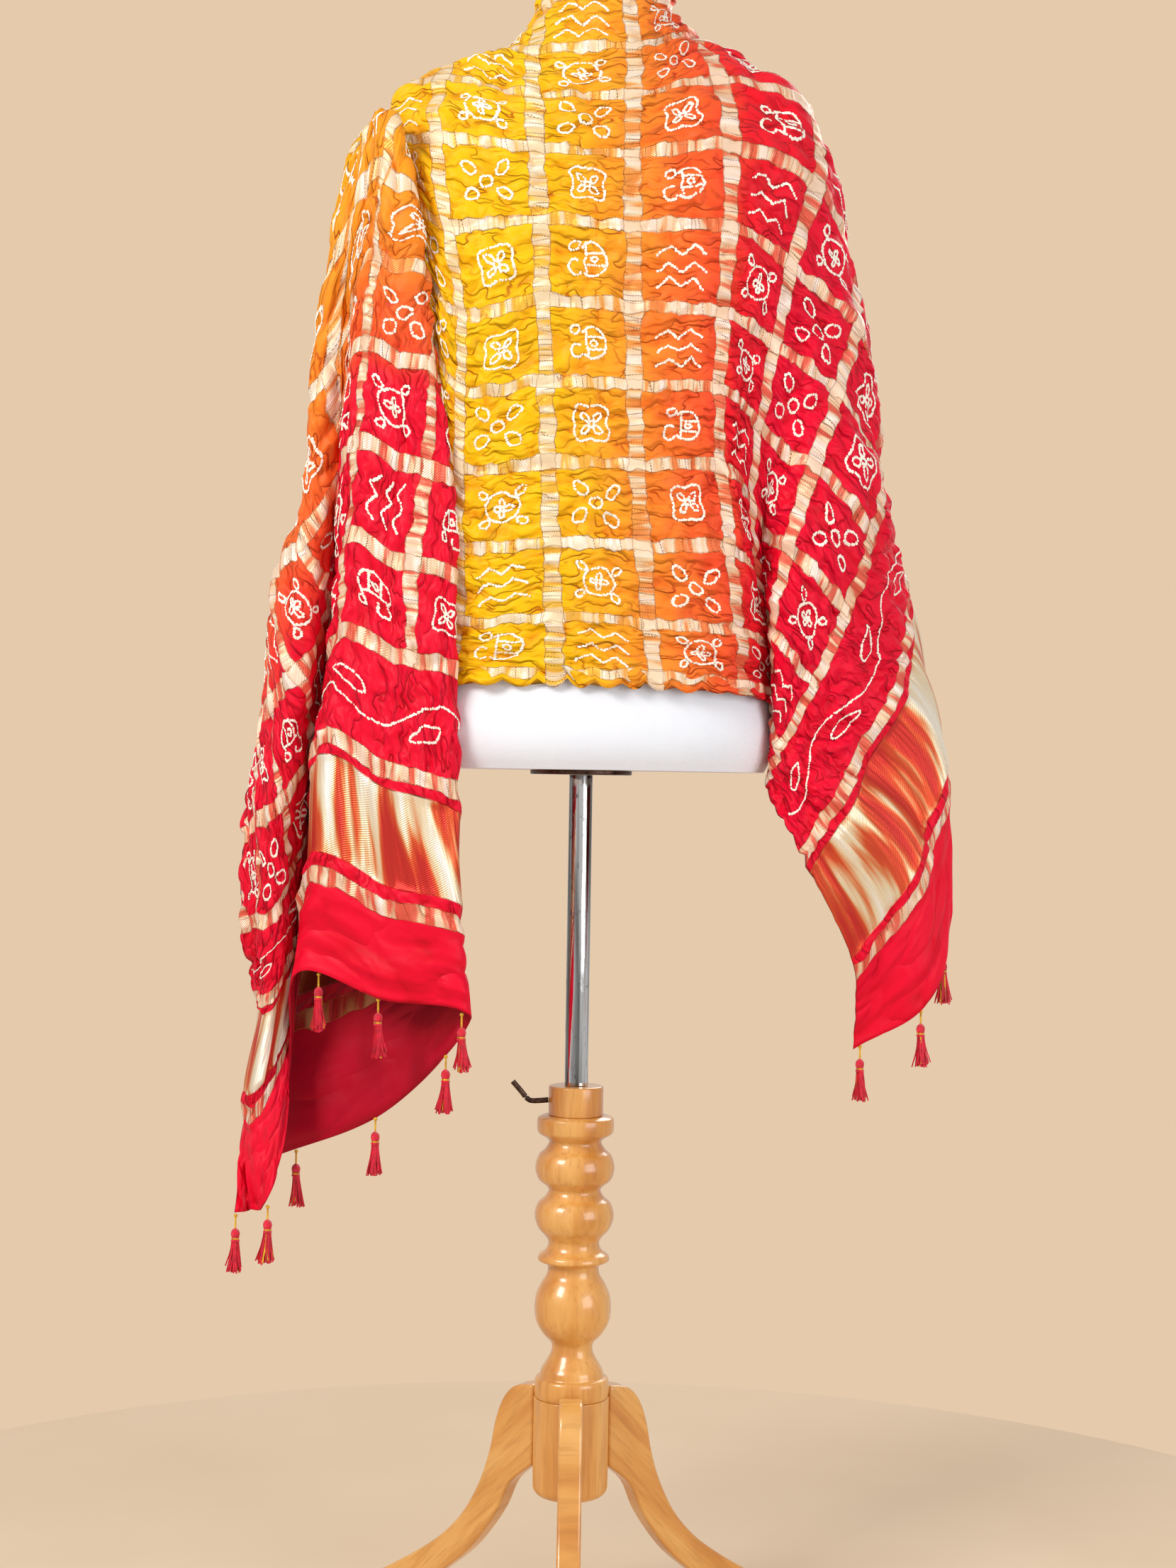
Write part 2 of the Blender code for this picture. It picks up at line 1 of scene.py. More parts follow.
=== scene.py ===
"""The looks of a crinkled bandhani silk shawl on a padded dress form with a turned wooden tripod.

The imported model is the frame. The tables are in millimetres from the stand's axis, with the form's
back facing -Y, and the pole's box says where that axis stands.
"""
import math

import bmesh
import bpy
import numpy as np
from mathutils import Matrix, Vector


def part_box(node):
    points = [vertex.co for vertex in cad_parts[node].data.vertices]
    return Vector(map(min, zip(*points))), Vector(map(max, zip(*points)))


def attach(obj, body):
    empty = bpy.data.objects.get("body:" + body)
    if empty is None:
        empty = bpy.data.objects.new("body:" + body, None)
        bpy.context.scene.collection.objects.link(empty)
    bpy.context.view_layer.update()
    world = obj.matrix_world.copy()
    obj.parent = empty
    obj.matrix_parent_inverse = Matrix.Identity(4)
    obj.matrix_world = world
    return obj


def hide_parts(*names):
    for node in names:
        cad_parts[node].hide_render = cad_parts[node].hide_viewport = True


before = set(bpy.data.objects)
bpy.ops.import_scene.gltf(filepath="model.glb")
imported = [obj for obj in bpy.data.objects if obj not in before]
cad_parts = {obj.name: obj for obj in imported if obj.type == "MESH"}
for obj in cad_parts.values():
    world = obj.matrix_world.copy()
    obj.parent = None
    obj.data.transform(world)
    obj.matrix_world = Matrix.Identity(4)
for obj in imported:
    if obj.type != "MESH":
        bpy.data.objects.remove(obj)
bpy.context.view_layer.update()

MM = 0.001
POLE_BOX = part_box("pole")
AXIS = np.array([(POLE_BOX[0].x + POLE_BOX[1].x) / 2, (POLE_BOX[0].y + POLE_BOX[1].y) / 2, 0.0])

# The camera, from the photograph's frame.
CAMERA_DISTANCE = 2.3
CAMERA_HEIGHT = 0.81
CAMERA_SIDE = 0.0067
CAMERA_LENS = 55.87
CAMERA_ROLL = math.radians(-0.9)

# The cloth, in millimetres. A column is one square along its length and a row one square across, and
# s and t are the millimetres along and across.
COLUMN_PITCH = 87.0
ROW_PITCH = 74.0
PITCH = np.array([COLUMN_PITCH, ROW_PITCH])
FIRST_COLUMN = -12.1
LAST_COLUMN = 10.1
CLOTH_CLEARANCE = 1.5
LIFT_ROUNDS = 12
LARGEST_LIFT = 25.0
SHOULDER_CLEARANCE = 6.0
SHOULDER_START = 1375.0
SHOULDER_FULL = 1425.0
SHEET_THICKNESS = 0.9
CELLS_ALONG = 400
CELLS_ACROSS = 192
REVERSE_STEP = 2
PUCKER_HEIGHT = 9.0
PUCKER_LONG = 40.0
PUCKER_SHORT = 18.0
PUCKER_BEND = 9.0
PUCKER_DRIFT = 10.0
FINE_PUCKER_LONG = 22.0
FINE_PUCKER_SHORT = 11.0
PULLS_ROUND = 13
PULL_SHARE = 0.6
PULL_STARTS = (14, 22)
PULL_ENDS = (32, 41)
BROAD_SHARE = 0.72
PUFF_FULLNESS = 0.7
SATIN_FOLD_HEIGHT = 9.0
SATIN_FOLD_LONG = 190.0
SATIN_FOLD_SHORT = 21.0
SATIN_FOLD_SWAY = 12.0
HEM_CRUMPLE_HEIGHT = 7.5
HEM_CRUMPLE_LONG = 66.0
HEM_CRUMPLE_SHORT = 30.0
SCALLOP_DEPTH = 6.0
SCALLOP_LENGTH = 24.2
SCALLOP_REACH = 15.0
SCALLOP_STRAY = 6.0
RUFFLE_SHARE = 0.6
STANDARD_ROWS = (0.0, 1.2, 2.5, 3.7, 5.0, 6.2, 7.5, 8.8, 10.0)

# Where the zones of the weave lie, in columns and rows, and half the widths of its bands, in millimetres.
GRID_FROM = -8.0
GRID_TO = 6.0
BAND_HALF_WIDTH = 7.9
ROW_BAND_HALF_WIDTH = 5.8
BAND_EDGE = 0.9
EXTRA_BANDS = (-11.0, -9.2, 7.2, 9.0)
SELVEDGE_BANDS = (0.17, 9.83)
BROCADES = ((-10.72, -9.42), (7.42, 8.78))

# The knots and their motifs, in millimetres. The shift of the outermost motifs is in rows.
KNOT_SPACING = 2.1
KNOT_RADIUS = 1.35
KNOT_HEIGHT = 1.0
KNOT_LIFT = 0.4
KNOT_SIDES = 6
KNOT_STRAY = 0.28
MOTIF_TURN = math.radians(7)
MOTIF_SHIFT = 2.0
MOTIF_WARP = 1.4
MOTIF_WARP_LENGTH = 9.0
EDGE_MOTIF_SHIFT = 0.085
CORNERS = ((-1, -1), (-1, 1), (1, -1), (1, 1))
SEED = 7

FORM_FOOT = 823.0
FORM_TOP = 1578.0
FORM_SQUARENESS = 2.3

# The padded form, from its flat foot to its neck: height, middle and half sizes of each section.
FORM_SECTIONS = [
    # height, middle_x, middle_y, half_width, half_depth
    (823, 0, 0, 172, 110),
    (832, 0, 0, 177, 116),
    (900, 1, 0, 176, 118),
    (960, 2, 0, 160, 108),
    (1040, 3, 3, 136, 94),
    (1120, 4, 6, 138, 98),
    (1200, 5, 10, 148, 112),
    (1280, 7, 8, 156, 112),
    (1350, 8, 0, 168, 100),
    (1400, 9, -2, 180, 82),
    (1430, 9, -2, 186, 66),
    (1450, 9, -2, 182, 54),
    (1463, 10, -2, 163, 47),
    (1476, 11, -1, 125, 44),
    (1488, 12, 0, 88, 44),
    (1500, 13, 0, 63, 46),
    (1515, 14, 0, 51, 46),
    (1545, 15, 0, 47, 45),
    (1578, 15, 0, 47, 45),
]

# The shawl's drape. Each entry is the line of the cloth at one column, counted in gold bands along its
# length from the left one on the form's back. Its points run from the lower selvedge, row 0, to the
# upper one, row 10: row, x, y, z. The nine points of the left end follow the same folds all the way.
BACK_AND_RIGHT = {
    -1.0: [(0, -148, -66, 950), (1.2, -138, -84, 1035), (2.5, -138, -90, 1142), (3.7, -142, -94, 1215),
           (5, -150, -94, 1288), (6.2, -176, -66, 1378), (7.5, -195, -5, 1425), (8.8, -158, 45, 1432),
           (10, -98, 58, 1395)],
    0.0: [(0, -120, -95, 903), (1.5, -110, -102, 988), (3, -114, -107, 1097), (5, -113, -112, 1230),
          (6.2, -130, -103, 1328), (7.5, -141, -62, 1430), (8.8, -118, 12, 1482), (10, -60, 38, 1492)],
    1.0: [(0, -23, -118, 901), (1.5, -27, -120, 991), (3, -33, -120, 1098), (4.5, -38, -120, 1206),
          (6, -44, -118, 1315), (7.5, -50, -98, 1410), (9, -52, -45, 1484), (10, -38, -14, 1549)],
    2.0: [(0, 65, -118, 899), (1.5, 55, -120, 986), (3, 45, -120, 1098), (4.5, 41, -120, 1200),
          (6, 39, -118, 1310), (7.5, 37, -98, 1408), (9, 38, -66, 1486), (10, 31, -53, 1546)],
    3.0: [(0, 142, -88, 893), (1.5, 136, -95, 983), (3, 120, -104, 1101), (4.5, 119, -110, 1198),
          (6, 125, -110, 1312), (7.5, 124, -78, 1425), (8.8, 100, -16, 1502), (10, 69, 17, 1545)],
    4.0: [(0, 186, -5, 880), (1.5, 168, -45, 962), (3, 147, -82, 1067), (4.5, 162, -88, 1175),
          (6, 182, -78, 1285), (7.5, 212, -32, 1402), (8.8, 168, 22, 1474), (10, 70, 70, 1480)],
    4.5: [(0, 200, 28, 866), (1.5, 180, -35, 945), (3, 163, -62, 1045), (4.5, 188, -80, 1158),
          (6, 216, -55, 1263), (7.5, 230, 0, 1372), (8.8, 178, 62, 1440), (10, 86, 92, 1450)],
    5.0: [(0, 199, 0, 850), (1.5, 176, -64, 918), (3, 187, -86, 1027), (4.5, 218, -76, 1139),
          (6, 248, -28, 1239), (7.5, 236, 35, 1330), (9, 172, 95, 1398), (10, 102, 112, 1420)],
    6.0: [(0, 178, -50, 813), (1.5, 195, -70, 872), (3, 240, -62, 974), (4.5, 274, -36, 1079),
          (6, 276, 30, 1160), (7.5, 236, 86, 1240), (9, 172, 128, 1310), (10, 112, 145, 1345)],
    7.2: [(0, 204, -70, 747), (1.5, 251, -56, 832), (3, 301, -6, 941), (4.5, 299, 56, 1025),
          (6, 266, 105, 1105), (7.5, 216, 140, 1180), (9, 160, 158, 1235), (10, 116, 164, 1252)],
    9.0: [(0, 258, -22, 638), (1.5, 331, -8, 745), (3, 343, 52, 842), (4.5, 322, 105, 930),
          (6, 278, 140, 1005), (7.5, 228, 160, 1060), (9, 170, 172, 1097), (10, 126, 175, 1110)],
    10.1: [(0, 262, 8, 564), (1.5, 342, 2, 625), (3, 350, 56, 738), (4.5, 335, 114, 828),
           (6, 295, 152, 903), (7.5, 243, 172, 958), (9, 182, 178, 993), (10, 132, 178, 1008)],
}
LEFT_END = {
    # lower selvedge, under layer, right edge, front layer, left lip,
    # valley, ridge, outer side, upper selvedge
    -12.1: [(0, -290, 10, 450), (1.3, -178, -45, 503), (2.6, -100, -106, 597), (3.5, -175, -99, 612),
            (4.5, -255, -66, 632), (6.3, -266, -35, 530), (8, -278, -74, 428), (9.1, -298, -52, 412),
            (10, -313, -62, 410)],
    -11.0: [(0, -302, 20, 566), (1.3, -170, -45, 622), (2.6, -108, -110, 678), (3.5, -177, -103, 697),
            (4.5, -245, -70, 720), (6.4, -262, -22, 600), (8.2, -291, -52, 508), (9.1, -303, -35, 500),
            (10, -306, -12, 498)],
    -9.2: [(0, -246, -4, 712), (1.3, -148, -72, 768), (2.3, -115, -112, 801), (3.3, -174, -105, 821),
           (4.3, -236, -74, 845), (6.4, -252, -8, 722), (8.3, -281, -54, 615), (9.2, -290, -35, 608),
           (10, -294, -8, 606)],
    -8.0: [(0, -207, -30, 800), (1.2, -150, -82, 868), (2.3, -119, -113, 910), (3.2, -165, -107, 922),
           (4.1, -222, -78, 941), (6.2, -246, -6, 825), (8.4, -280, -58, 692), (9.3, -294, -45, 680),
           (10, -307, -25, 672)],
    -7.0: [(0, -200, -42, 885), (1.2, -154, -88, 960), (2.4, -121, -114, 995), (3.3, -174, -108, 1010),
           (4.1, -215, -82, 1027), (6, -236, -8, 905), (8, -276, -64, 790), (9.1, -296, -42, 770),
           (10, -309, -15, 755)],
    -6.0: [(0, -198, -50, 962), (1.2, -158, -86, 1045), (2.5, -123, -112, 1079), (3.4, -168, -113, 1098),
           (4.2, -212, -85, 1112), (5.6, -232, -35, 1005), (7, -262, -65, 907), (8.6, -293, -25, 868),
           (10, -298, 15, 840)],
    -5.0: [(0, -202, -50, 1035), (1.2, -170, -74, 1112), (2.8, -137, -110, 1176), (3.5, -170, -114, 1190),
           (4.2, -208, -88, 1203), (5, -224, -48, 1118), (6, -256, -62, 1029), (8, -283, 15, 985),
           (10, -252, 50, 955)],
    -4.0: [(0, -200, -42, 1085), (1.2, -178, -70, 1165), (3.2, -150, -110, 1262), (3.7, -174, -116, 1272),
           (4.2, -198, -92, 1285), (4.8, -222, -60, 1212), (5.5, -252, -45, 1150), (7.8, -212, 100, 1085),
           (10, -205, 60, 1078)],
    -3.0: [(0, -188, -32, 1072), (1.2, -172, -70, 1178), (3.3, -158, -112, 1322), (3.8, -175, -116, 1346),
           (4.3, -192, -94, 1362), (5, -214, -66, 1325), (5.8, -240, -38, 1262), (7.8, -222, 75, 1210),
           (10, -172, 70, 1185)],
    -2.5: [(0, -180, -34, 1050), (1.2, -172, -54, 1150), (2.9, -166, -84, 1315), (3.9, -177, -92, 1402),
           (4.5, -192, -80, 1418), (5.1, -204, -58, 1402), (6, -232, -25, 1330), (8, -220, 62, 1275),
           (10, -155, 70, 1238)],
    -2.0: [(0, -170, -38, 1015), (1.2, -165, -46, 1110), (2.5, -164, -52, 1215), (3.7, -172, -58, 1310),
           (4.6, -186, -70, 1385), (5.2, -200, -58, 1400), (6.2, -222, -22, 1385), (8, -215, 48, 1335),
           (10, -136, 66, 1290)],
}

# Soft folds that run along the cloth: where each starts and ends, its row, its reach and its height.
FOLDS = [
    # from_column, to_column, row, reach_rows, height
    (-12.0, -8.6, 3.1, 0.22, 6),
    (-12.0, -8.6, 3.65, 0.20, -6),
    (-12.0, -8.8, 4.15, 0.22, 5),
    (-8.0, -4.0, 3.4, 0.30, -5),
    (5.5, 9.8, 1.0, 0.28, 6),
    (6.5, 10.0, 1.7, 0.25, -7),
    (6.0, 10.0, 2.4, 0.30, 6),
    (4.5, 10.0, 5.3, 0.40, -16),
    (5.0, 10.0, 7.0, 0.40, 12),
    (5.0, 10.0, 8.3, 0.40, -14),
    (-6.5, -3.0, 7.0, 0.50, 10),
    (-4.5, -1.0, 8.8, 0.45, -10),
]


def value_noise(u, v, seed):
    """Smooth noise from -1 to 1, with bumps about one unit wide."""
    size = 256
    table = np.random.default_rng(seed).uniform(-1.0, 1.0, (size, size))
    left = np.floor(u).astype(int)
    low = np.floor(v).astype(int)
    across = u - left
    up = v - low
    across = across * across * (3 - 2 * across)
    up = up * up * (3 - 2 * up)
    a = table[left % size, low % size]
    b = table[(left + 1) % size, low % size]
    c = table[left % size, (low + 1) % size]
    d = table[(left + 1) % size, (low + 1) % size]
    return (a * (1 - across) + b * across) * (1 - up) + (c * (1 - across) + d * across) * up


def rise(value, start, full):
    """0 up to start, 1 from full on, and a smooth ramp between."""
    t = np.clip((value - start) / (full - start), 0.0, 1.0)
    return t * t * (3 - 2 * t)


def smooth_between(knots, values, at):
    """Values read at given places from a smooth curve through the knots."""
    knots = np.asarray(knots, float)
    values = np.asarray(values, float)
    at = np.asarray(at, float)
    slopes = np.gradient(values, knots, axis=0)
    span = np.clip(np.searchsorted(knots, at, side="right") - 1, 0, len(knots) - 2)
    width = knots[span + 1] - knots[span]
    t = (at - knots[span]) / width
    shape = (len(at),) + (1,) * (values.ndim - 1)
    t = t.reshape(shape)
    width = width.reshape(shape)
    start = values[span] * (2 * t**3 - 3 * t**2 + 1) + slopes[span] * width * (t**3 - 2 * t**2 + t)
    end = values[span + 1] * (3 * t**2 - 2 * t**3) + slopes[span + 1] * width * (t**3 - t**2)
    return start + end


def unit(vectors):
    """The vectors, each at length one."""
    return vectors / (np.linalg.norm(vectors, axis=-1, keepdims=True) + 1e-9)


def form_reach(points):
    """How far out each point lies on the padded form: 1 on its surface, less inside."""
    table = np.array(FORM_SECTIONS, float)
    height = np.clip(points[:, 2], table[0, 0], table[-1, 0])
    middle_x, middle_y, half_width, half_depth = smooth_between(table[:, 0], table[:, 1:], height).T
    across = np.abs((points[:, 0] - middle_x) / half_width) ** FORM_SQUARENESS
    deep = np.abs((points[:, 1] - middle_y) / half_depth) ** FORM_SQUARENESS
    return (across + deep) ** (1.0 / FORM_SQUARENESS)


def lay_on_form(points):
    """Lift every point that would run into the form until it lies clear of it, more so at the shoulders."""
    points = points.copy()
    step = 0.5
    shoulder = np.clip((points[:, 2] - SHOULDER_START) / (SHOULDER_FULL - SHOULDER_START), 0.0, 1.0)
    clearance = CLOTH_CLEARANCE + (SHOULDER_CLEARANCE - CLOTH_CLEARANCE) * shoulder + SHEET_THICKNESS
    for _ in range(LIFT_ROUNDS):
        reach = form_reach(points)
        slope = np.empty_like(points)
        for axis in range(3):
            shift = np.zeros(3)
            shift[axis] = step
            slope[:, axis] = (form_reach(points + shift) - form_reach(points - shift)) / (2 * step)
        steepness = np.linalg.norm(slope, axis=1) + 1e-9
        lift = np.clip(clearance - (reach - 1.0) / steepness, 0.0, LARGEST_LIFT)
        over = (points[:, 2] > FORM_FOOT - 1.0) & (points[:, 2] < FORM_TOP + 1.0)
        lift = np.where(over, lift, 0.0)
        points += slope / steepness[:, None] * lift[:, None]
    return points


def drape_lines():
    """The columns of the drape, and for each the row, x, y and z of its nine points."""
    lines = dict(LEFT_END)
    for column, points in BACK_AND_RIGHT.items():
        table = np.array(points, float)
        if len(table) == len(STANDARD_ROWS):
            lines[column] = table
            continue
        places = smooth_between(table[:, 0], table[:, 1:], STANDARD_ROWS)
        lines[column] = np.column_stack([STANDARD_ROWS, places])
    columns = np.array(sorted(lines))
    return columns, np.array([lines[column] for column in columns], float)


def sheet_normals(points):
    """The unit normal at each point of a grid: the mean of the normals of the cells around it."""
    falling = points[1:, 1:] - points[:-1, :-1]
    rising = points[:-1, 1:] - points[1:, :-1]
    cell = unit(np.cross(falling, rising))
    normal = np.zeros_like(points)
    for i, j in ((0, 0), (0, 1), (1, 0), (1, 1)):
        normal[i:i + cell.shape[0], j:j + cell.shape[1]] += cell
    return unit(normal)


def drape():
    """Middle surface of the cloth: its columns, its rows and its points, on an even grid."""
    columns, lines = drape_lines()
    folds_at = np.linspace(0, lines.shape[1] - 1, CELLS_ACROSS + 1)
    fine = smooth_between(np.arange(lines.shape[1]), lines.transpose(1, 0, 2), folds_at)
    column_at = np.linspace(columns[0], columns[-1], CELLS_ALONG + 1)
    fine = smooth_between(columns, fine.transpose(1, 0, 2), column_at)
    rows = fine[:, :, 0]
    points = fine[:, :, 1:]
    normal = sheet_normals(points)
    for start, end, row, reach, height in FOLDS:
        middle = (start + end) / 2
        along = np.clip(1.0 - ((column_at - middle) / (end - start) * 2) ** 2, 0.0, 1.0)
        across = np.exp(-(((rows - row) / reach) ** 2))
        points = points + normal * (height * along[:, None] * across)[:, :, None]
    flat = lay_on_form(points.reshape(-1, 3))
    return column_at, rows, flat.reshape(points.shape)


def puckers(s, t):
    """The crinkle of the tie-dyed squares: puffs with sharp creases between them, drawn to each motif."""
    bend = PUCKER_BEND * value_noise(s / 60, t / 60, SEED + 1)
    drift = PUCKER_DRIFT * value_noise(s / 45, t / 30, SEED + 2)
    broad = np.abs(value_noise((s + drift) / PUCKER_LONG, (t + bend) / PUCKER_SHORT, SEED + 3))
    fine = np.abs(value_noise((s + bend) / FINE_PUCKER_LONG, (t + drift) / FINE_PUCKER_SHORT, SEED + 4))
    square_s = np.floor(s / COLUMN_PITCH)
    square_t = np.floor(t / ROW_PITCH)
    out_s = s - (square_s + 0.5) * COLUMN_PITCH
    out_t = t - (square_t + 0.5) * ROW_PITCH
    reach = np.hypot(out_s, out_t)
    heading = np.arctan2(out_t, out_s) * PULLS_ROUND / (2 * math.pi)
    rays = np.abs(value_noise(heading + 17 * square_s + 31 * square_t, reach / 30, SEED + 7))
    share = PULL_SHARE * rise(reach, *PULL_STARTS) * (1 - rise(reach, *PULL_ENDS))
    broad, fine, rays = (noise ** PUFF_FULLNESS for noise in (broad, fine, rays))
    blended = (BROAD_SHARE * broad + (1 - BROAD_SHARE) * fine) * (1 - share) + rays * share
    return np.clip(1.25 * blended, 0.0, 1.0)


def zone_share(columns, bounds, soft=0.10):
    """1 inside the given stretch of columns, 0 outside it."""
    start, end = bounds
    return rise(columns, start - soft, start + soft) * (1 - rise(columns, end - soft, end + soft))


def relief(columns, rows):
    """The face's height over its main folds, in millimetres, and its puff: 0 in a crease and 1 on top."""
    s = columns * COLUMN_PITCH
    t = rows * ROW_PITCH
    crinkle = puckers(s, t)
    brocade = zone_share(columns, BROCADES[0]) + zone_share(columns, BROCADES[1])
    hem = 1 - zone_share(columns, (BROCADES[0][0] - 0.3, BROCADES[1][1] + 0.3))
    sway = SATIN_FOLD_SWAY * value_noise(s / 150, t / 200, SEED + 5)
    satin = 0.5 + 0.5 * value_noise(s / SATIN_FOLD_LONG, (t + sway) / SATIN_FOLD_SHORT, SEED + 6)
    crumple = np.abs(value_noise(s / HEM_CRUMPLE_SHORT, t / HEM_CRUMPLE_LONG, SEED + 8))
    crumple = 0.6 * np.sqrt(crumple) + 0.4 * satin
    grid = np.clip(1 - brocade - hem, 0, 1)
    puff = crinkle * grid + satin * brocade + crumple * hem
    height = (PUCKER_HEIGHT * crinkle * grid + SATIN_FOLD_HEIGHT * satin * brocade
              + HEM_CRUMPLE_HEIGHT * crumple * hem)
    return height, puff


def make_face():
    """The cloth's face: its columns, rows, points and normals, with selvedge, crinkle and creases."""
    column_at, rows, base = drape()
    columns = np.repeat(column_at[:, None], rows.shape[1], axis=1)
    normal = sheet_normals(base)
    upward = unit(np.gradient(base, axis=1))
    s = columns * COLUMN_PITCH
    for edge_row, outward, seed in ((0.0, -1.0, SEED + 9), (10.0, 1.0, SEED + 10)):
        near = np.exp(-(((rows - edge_row) * ROW_PITCH / SCALLOP_REACH) ** 2))
        stretched = s + SCALLOP_STRAY * value_noise(s / 60, s * 0 + 3.3, seed)
        wave = 1.6 * np.abs(np.sin(math.pi * stretched / SCALLOP_LENGTH)) ** 0.6 - 0.8
        wave = wave * (0.7 + 0.5 * value_noise(s / 33, s * 0 + 9.1, seed))
        ruffle = value_noise(s / SCALLOP_LENGTH + 40.5, s * 0 + 7.7, seed)
        inside = zone_share(columns, (BROCADES[0][1], BROCADES[1][0]), 0.3)
        reach = outward * SCALLOP_DEPTH * wave * near * (0.12 + 0.88 * inside)
        lift = RUFFLE_SHARE * SCALLOP_DEPTH * (0.6 + ruffle) * near * (0.3 + 0.7 * inside)
        base = base + upward * reach[:, :, None] + normal * lift[:, :, None]
    height, puff = relief(columns, rows)
    face = base + normal * height[:, :, None]
    return {"columns": column_at, "rows": rows, "base": base, "normal": normal, "height": height,
            "puff": puff, "face": face, "face_normal": sheet_normals(face)}


def lowest_around(height, reach):
    """The least height within some cells of each point of a grid."""
    padded = np.pad(height, reach, mode="edge")
    least = height.copy()
    for i in range(2 * reach + 1):
        for j in range(2 * reach + 1):
            least = np.minimum(least, padded[i:i + height.shape[0], j:j + height.shape[1]])
    return least


def layer_of(cloth, reverse):
    """The grid of one layer: columns, rows, points and outward normals."""
    if not reverse:
        return cloth["columns"], cloth["rows"], cloth["face"], cloth["face_normal"]
    step = REVERSE_STEP
    height = lowest_around(cloth["height"], step) - SHEET_THICKNESS
    points = cloth["base"] + cloth["normal"] * height[:, :, None]
    points = points[::step, ::step]
    return cloth["columns"][::step], cloth["rows"][::step, ::step], points, -sheet_normals(points)


def boundary(long_way, wide_way):
    """Indices round the rim of a grid, counter-clockwise as the face is seen."""
    rim = [i * wide_way for i in range(long_way)]
    rim += [(long_way - 1) * wide_way + j for j in range(1, wide_way)]
    rim += [i * wide_way + wide_way - 1 for i in range(long_way - 2, -1, -1)]
    rim += [j for j in range(wide_way - 2, 0, -1)]
    return rim


def grid_faces(first, long_way, wide_way, back):
    """Four-sided faces over a grid of points, turned over for the back."""
    near, far = (1, wide_way) if back else (wide_way, 1)
    starts = [first + i * wide_way + j for i in range(long_way - 1) for j in range(wide_way - 1)]
    return [(a, a + near, a + wide_way + 1, a + far) for a in starts]


def make_shawl(cloth):
    """The shawl as one closed sheet: its fine face, a reverse on every second line, and their rim."""
    columns, rows, face, _ = layer_of(cloth, False)
    back_columns, back_rows, back, _ = layer_of(cloth, True)
    long_way, wide_way = face.shape[:2]
    back_long, back_wide = back.shape[:2]
    count = long_way * wide_way
    faces = grid_faces(0, long_way, wide_way, False)
    face_count = len(faces)
    faces += grid_faces(count, back_long, back_wide, True)
    fine = boundary(long_way, wide_way)
    coarse = boundary(back_long, back_wide)
    for k, here in enumerate(coarse):
        following = count + coarse[(k + 1) % len(coarse)]
        first, middle, last = fine[2 * k], fine[2 * k + 1], fine[(2 * k + 2) % len(fine)]
        faces += [(middle, first, count + here), (last, middle, following), (middle, count + here, following)]
    points = np.vstack([face.reshape(-1, 3), back.reshape(-1, 3)])
    mesh = mesh_from("shawl", points, faces)
    puff = cloth["puff"]
    back_puff = 1 - puff[::REVERSE_STEP, ::REVERSE_STEP]
    weave = np.vstack([
        np.column_stack([np.repeat(columns, wide_way), rows.ravel(), puff.ravel()]),
        np.column_stack([np.repeat(back_columns, back_wide), back_rows.ravel(), back_puff.ravel()]),
    ])
    attribute = mesh.attributes.new("weave", "FLOAT_VECTOR", "POINT")
    attribute.data.foreach_set("vector", weave.astype(np.float32).ravel())
    mesh.materials.append(silk_material("silk_face", reverse=False))
    mesh.materials.append(silk_material("silk_reverse", reverse=True))
    mesh.polygons.foreach_set("material_index", (np.arange(len(faces)) >= face_count).astype(np.int32))
    mesh.shade_smooth()
    return dress("shawl", mesh, ("cloth",))


def surface_points(layer, columns, rows):
    """Points and normals of a layer at the given columns and rows."""
    grid_columns, grid_rows, points, normals = layer
    at = np.interp(columns, grid_columns, np.arange(len(grid_columns)))
    left = np.clip(np.floor(at).astype(int), 0, len(grid_columns) - 2)
    share = (at - left)[:, None]
    lines = grid_rows[left] * (1 - share) + grid_rows[left + 1] * share
    low = np.clip((lines <= rows[:, None]).sum(axis=1) - 1, 0, lines.shape[1] - 2)
    each = np.arange(len(rows))
    span = lines[each, low + 1] - lines[each, low]
    up = np.clip((rows - lines[each, low]) / (span + 1e-9), 0, 1)[:, None]
    found = []
    for values in (points, normals):
        lower = values[left, low] * (1 - share) + values[left + 1, low] * share
        upper = values[left, low + 1] * (1 - share) + values[left + 1, low + 1] * share
        found.append(lower * (1 - up) + upper * up)
    return found[0], unit(found[1])


def ring(x, y, half_x, half_y, turn=0.0, start=0.0, sweep=2 * math.pi, point=0.0):
    """A stroke round an ellipse, or part of it; point draws its far end out to a tip."""
    angle = np.linspace(start, start + sweep, 48)
    reach = 1 + point * np.maximum(np.cos(angle), 0) ** 6
    local_x = half_x * np.cos(angle) * reach
    local_y = half_y * np.sin(angle)
    return np.column_stack([x + local_x * math.cos(turn) - local_y * math.sin(turn),
                            y + local_x * math.sin(turn) + local_y * math.cos(turn)])


def petals(reach, half_x, half_y, first_turn):
    """Four ellipses round the middle, each along its own heading."""
    turns = [first_turn + math.pi / 2 * k for k in range(4)]
    return [ring(reach * math.cos(turn), reach * math.sin(turn), half_x, half_y, turn) for turn in turns]


def turtle():
    """A round shell with four looped feet and a small four-petalled middle."""
    feet = [ring(x * 16, y * 13.5, 4.6, 3.0, math.radians(38) * x * y) for x, y in CORNERS]
    return [ring(0, 0, 14.5, 13.5), *feet, *petals(4.6, 3.4, 2.1, 0.0)]


def rings():
    """A middle ring with four longer ones at its corners."""
    outer = [ring(x * 15, y * 12.5, 7.6, 5.0, math.atan2(y * 0.8, x)) for x, y in CORNERS]
    return [ring(0, 0, 5.6, 5.2), *outer]


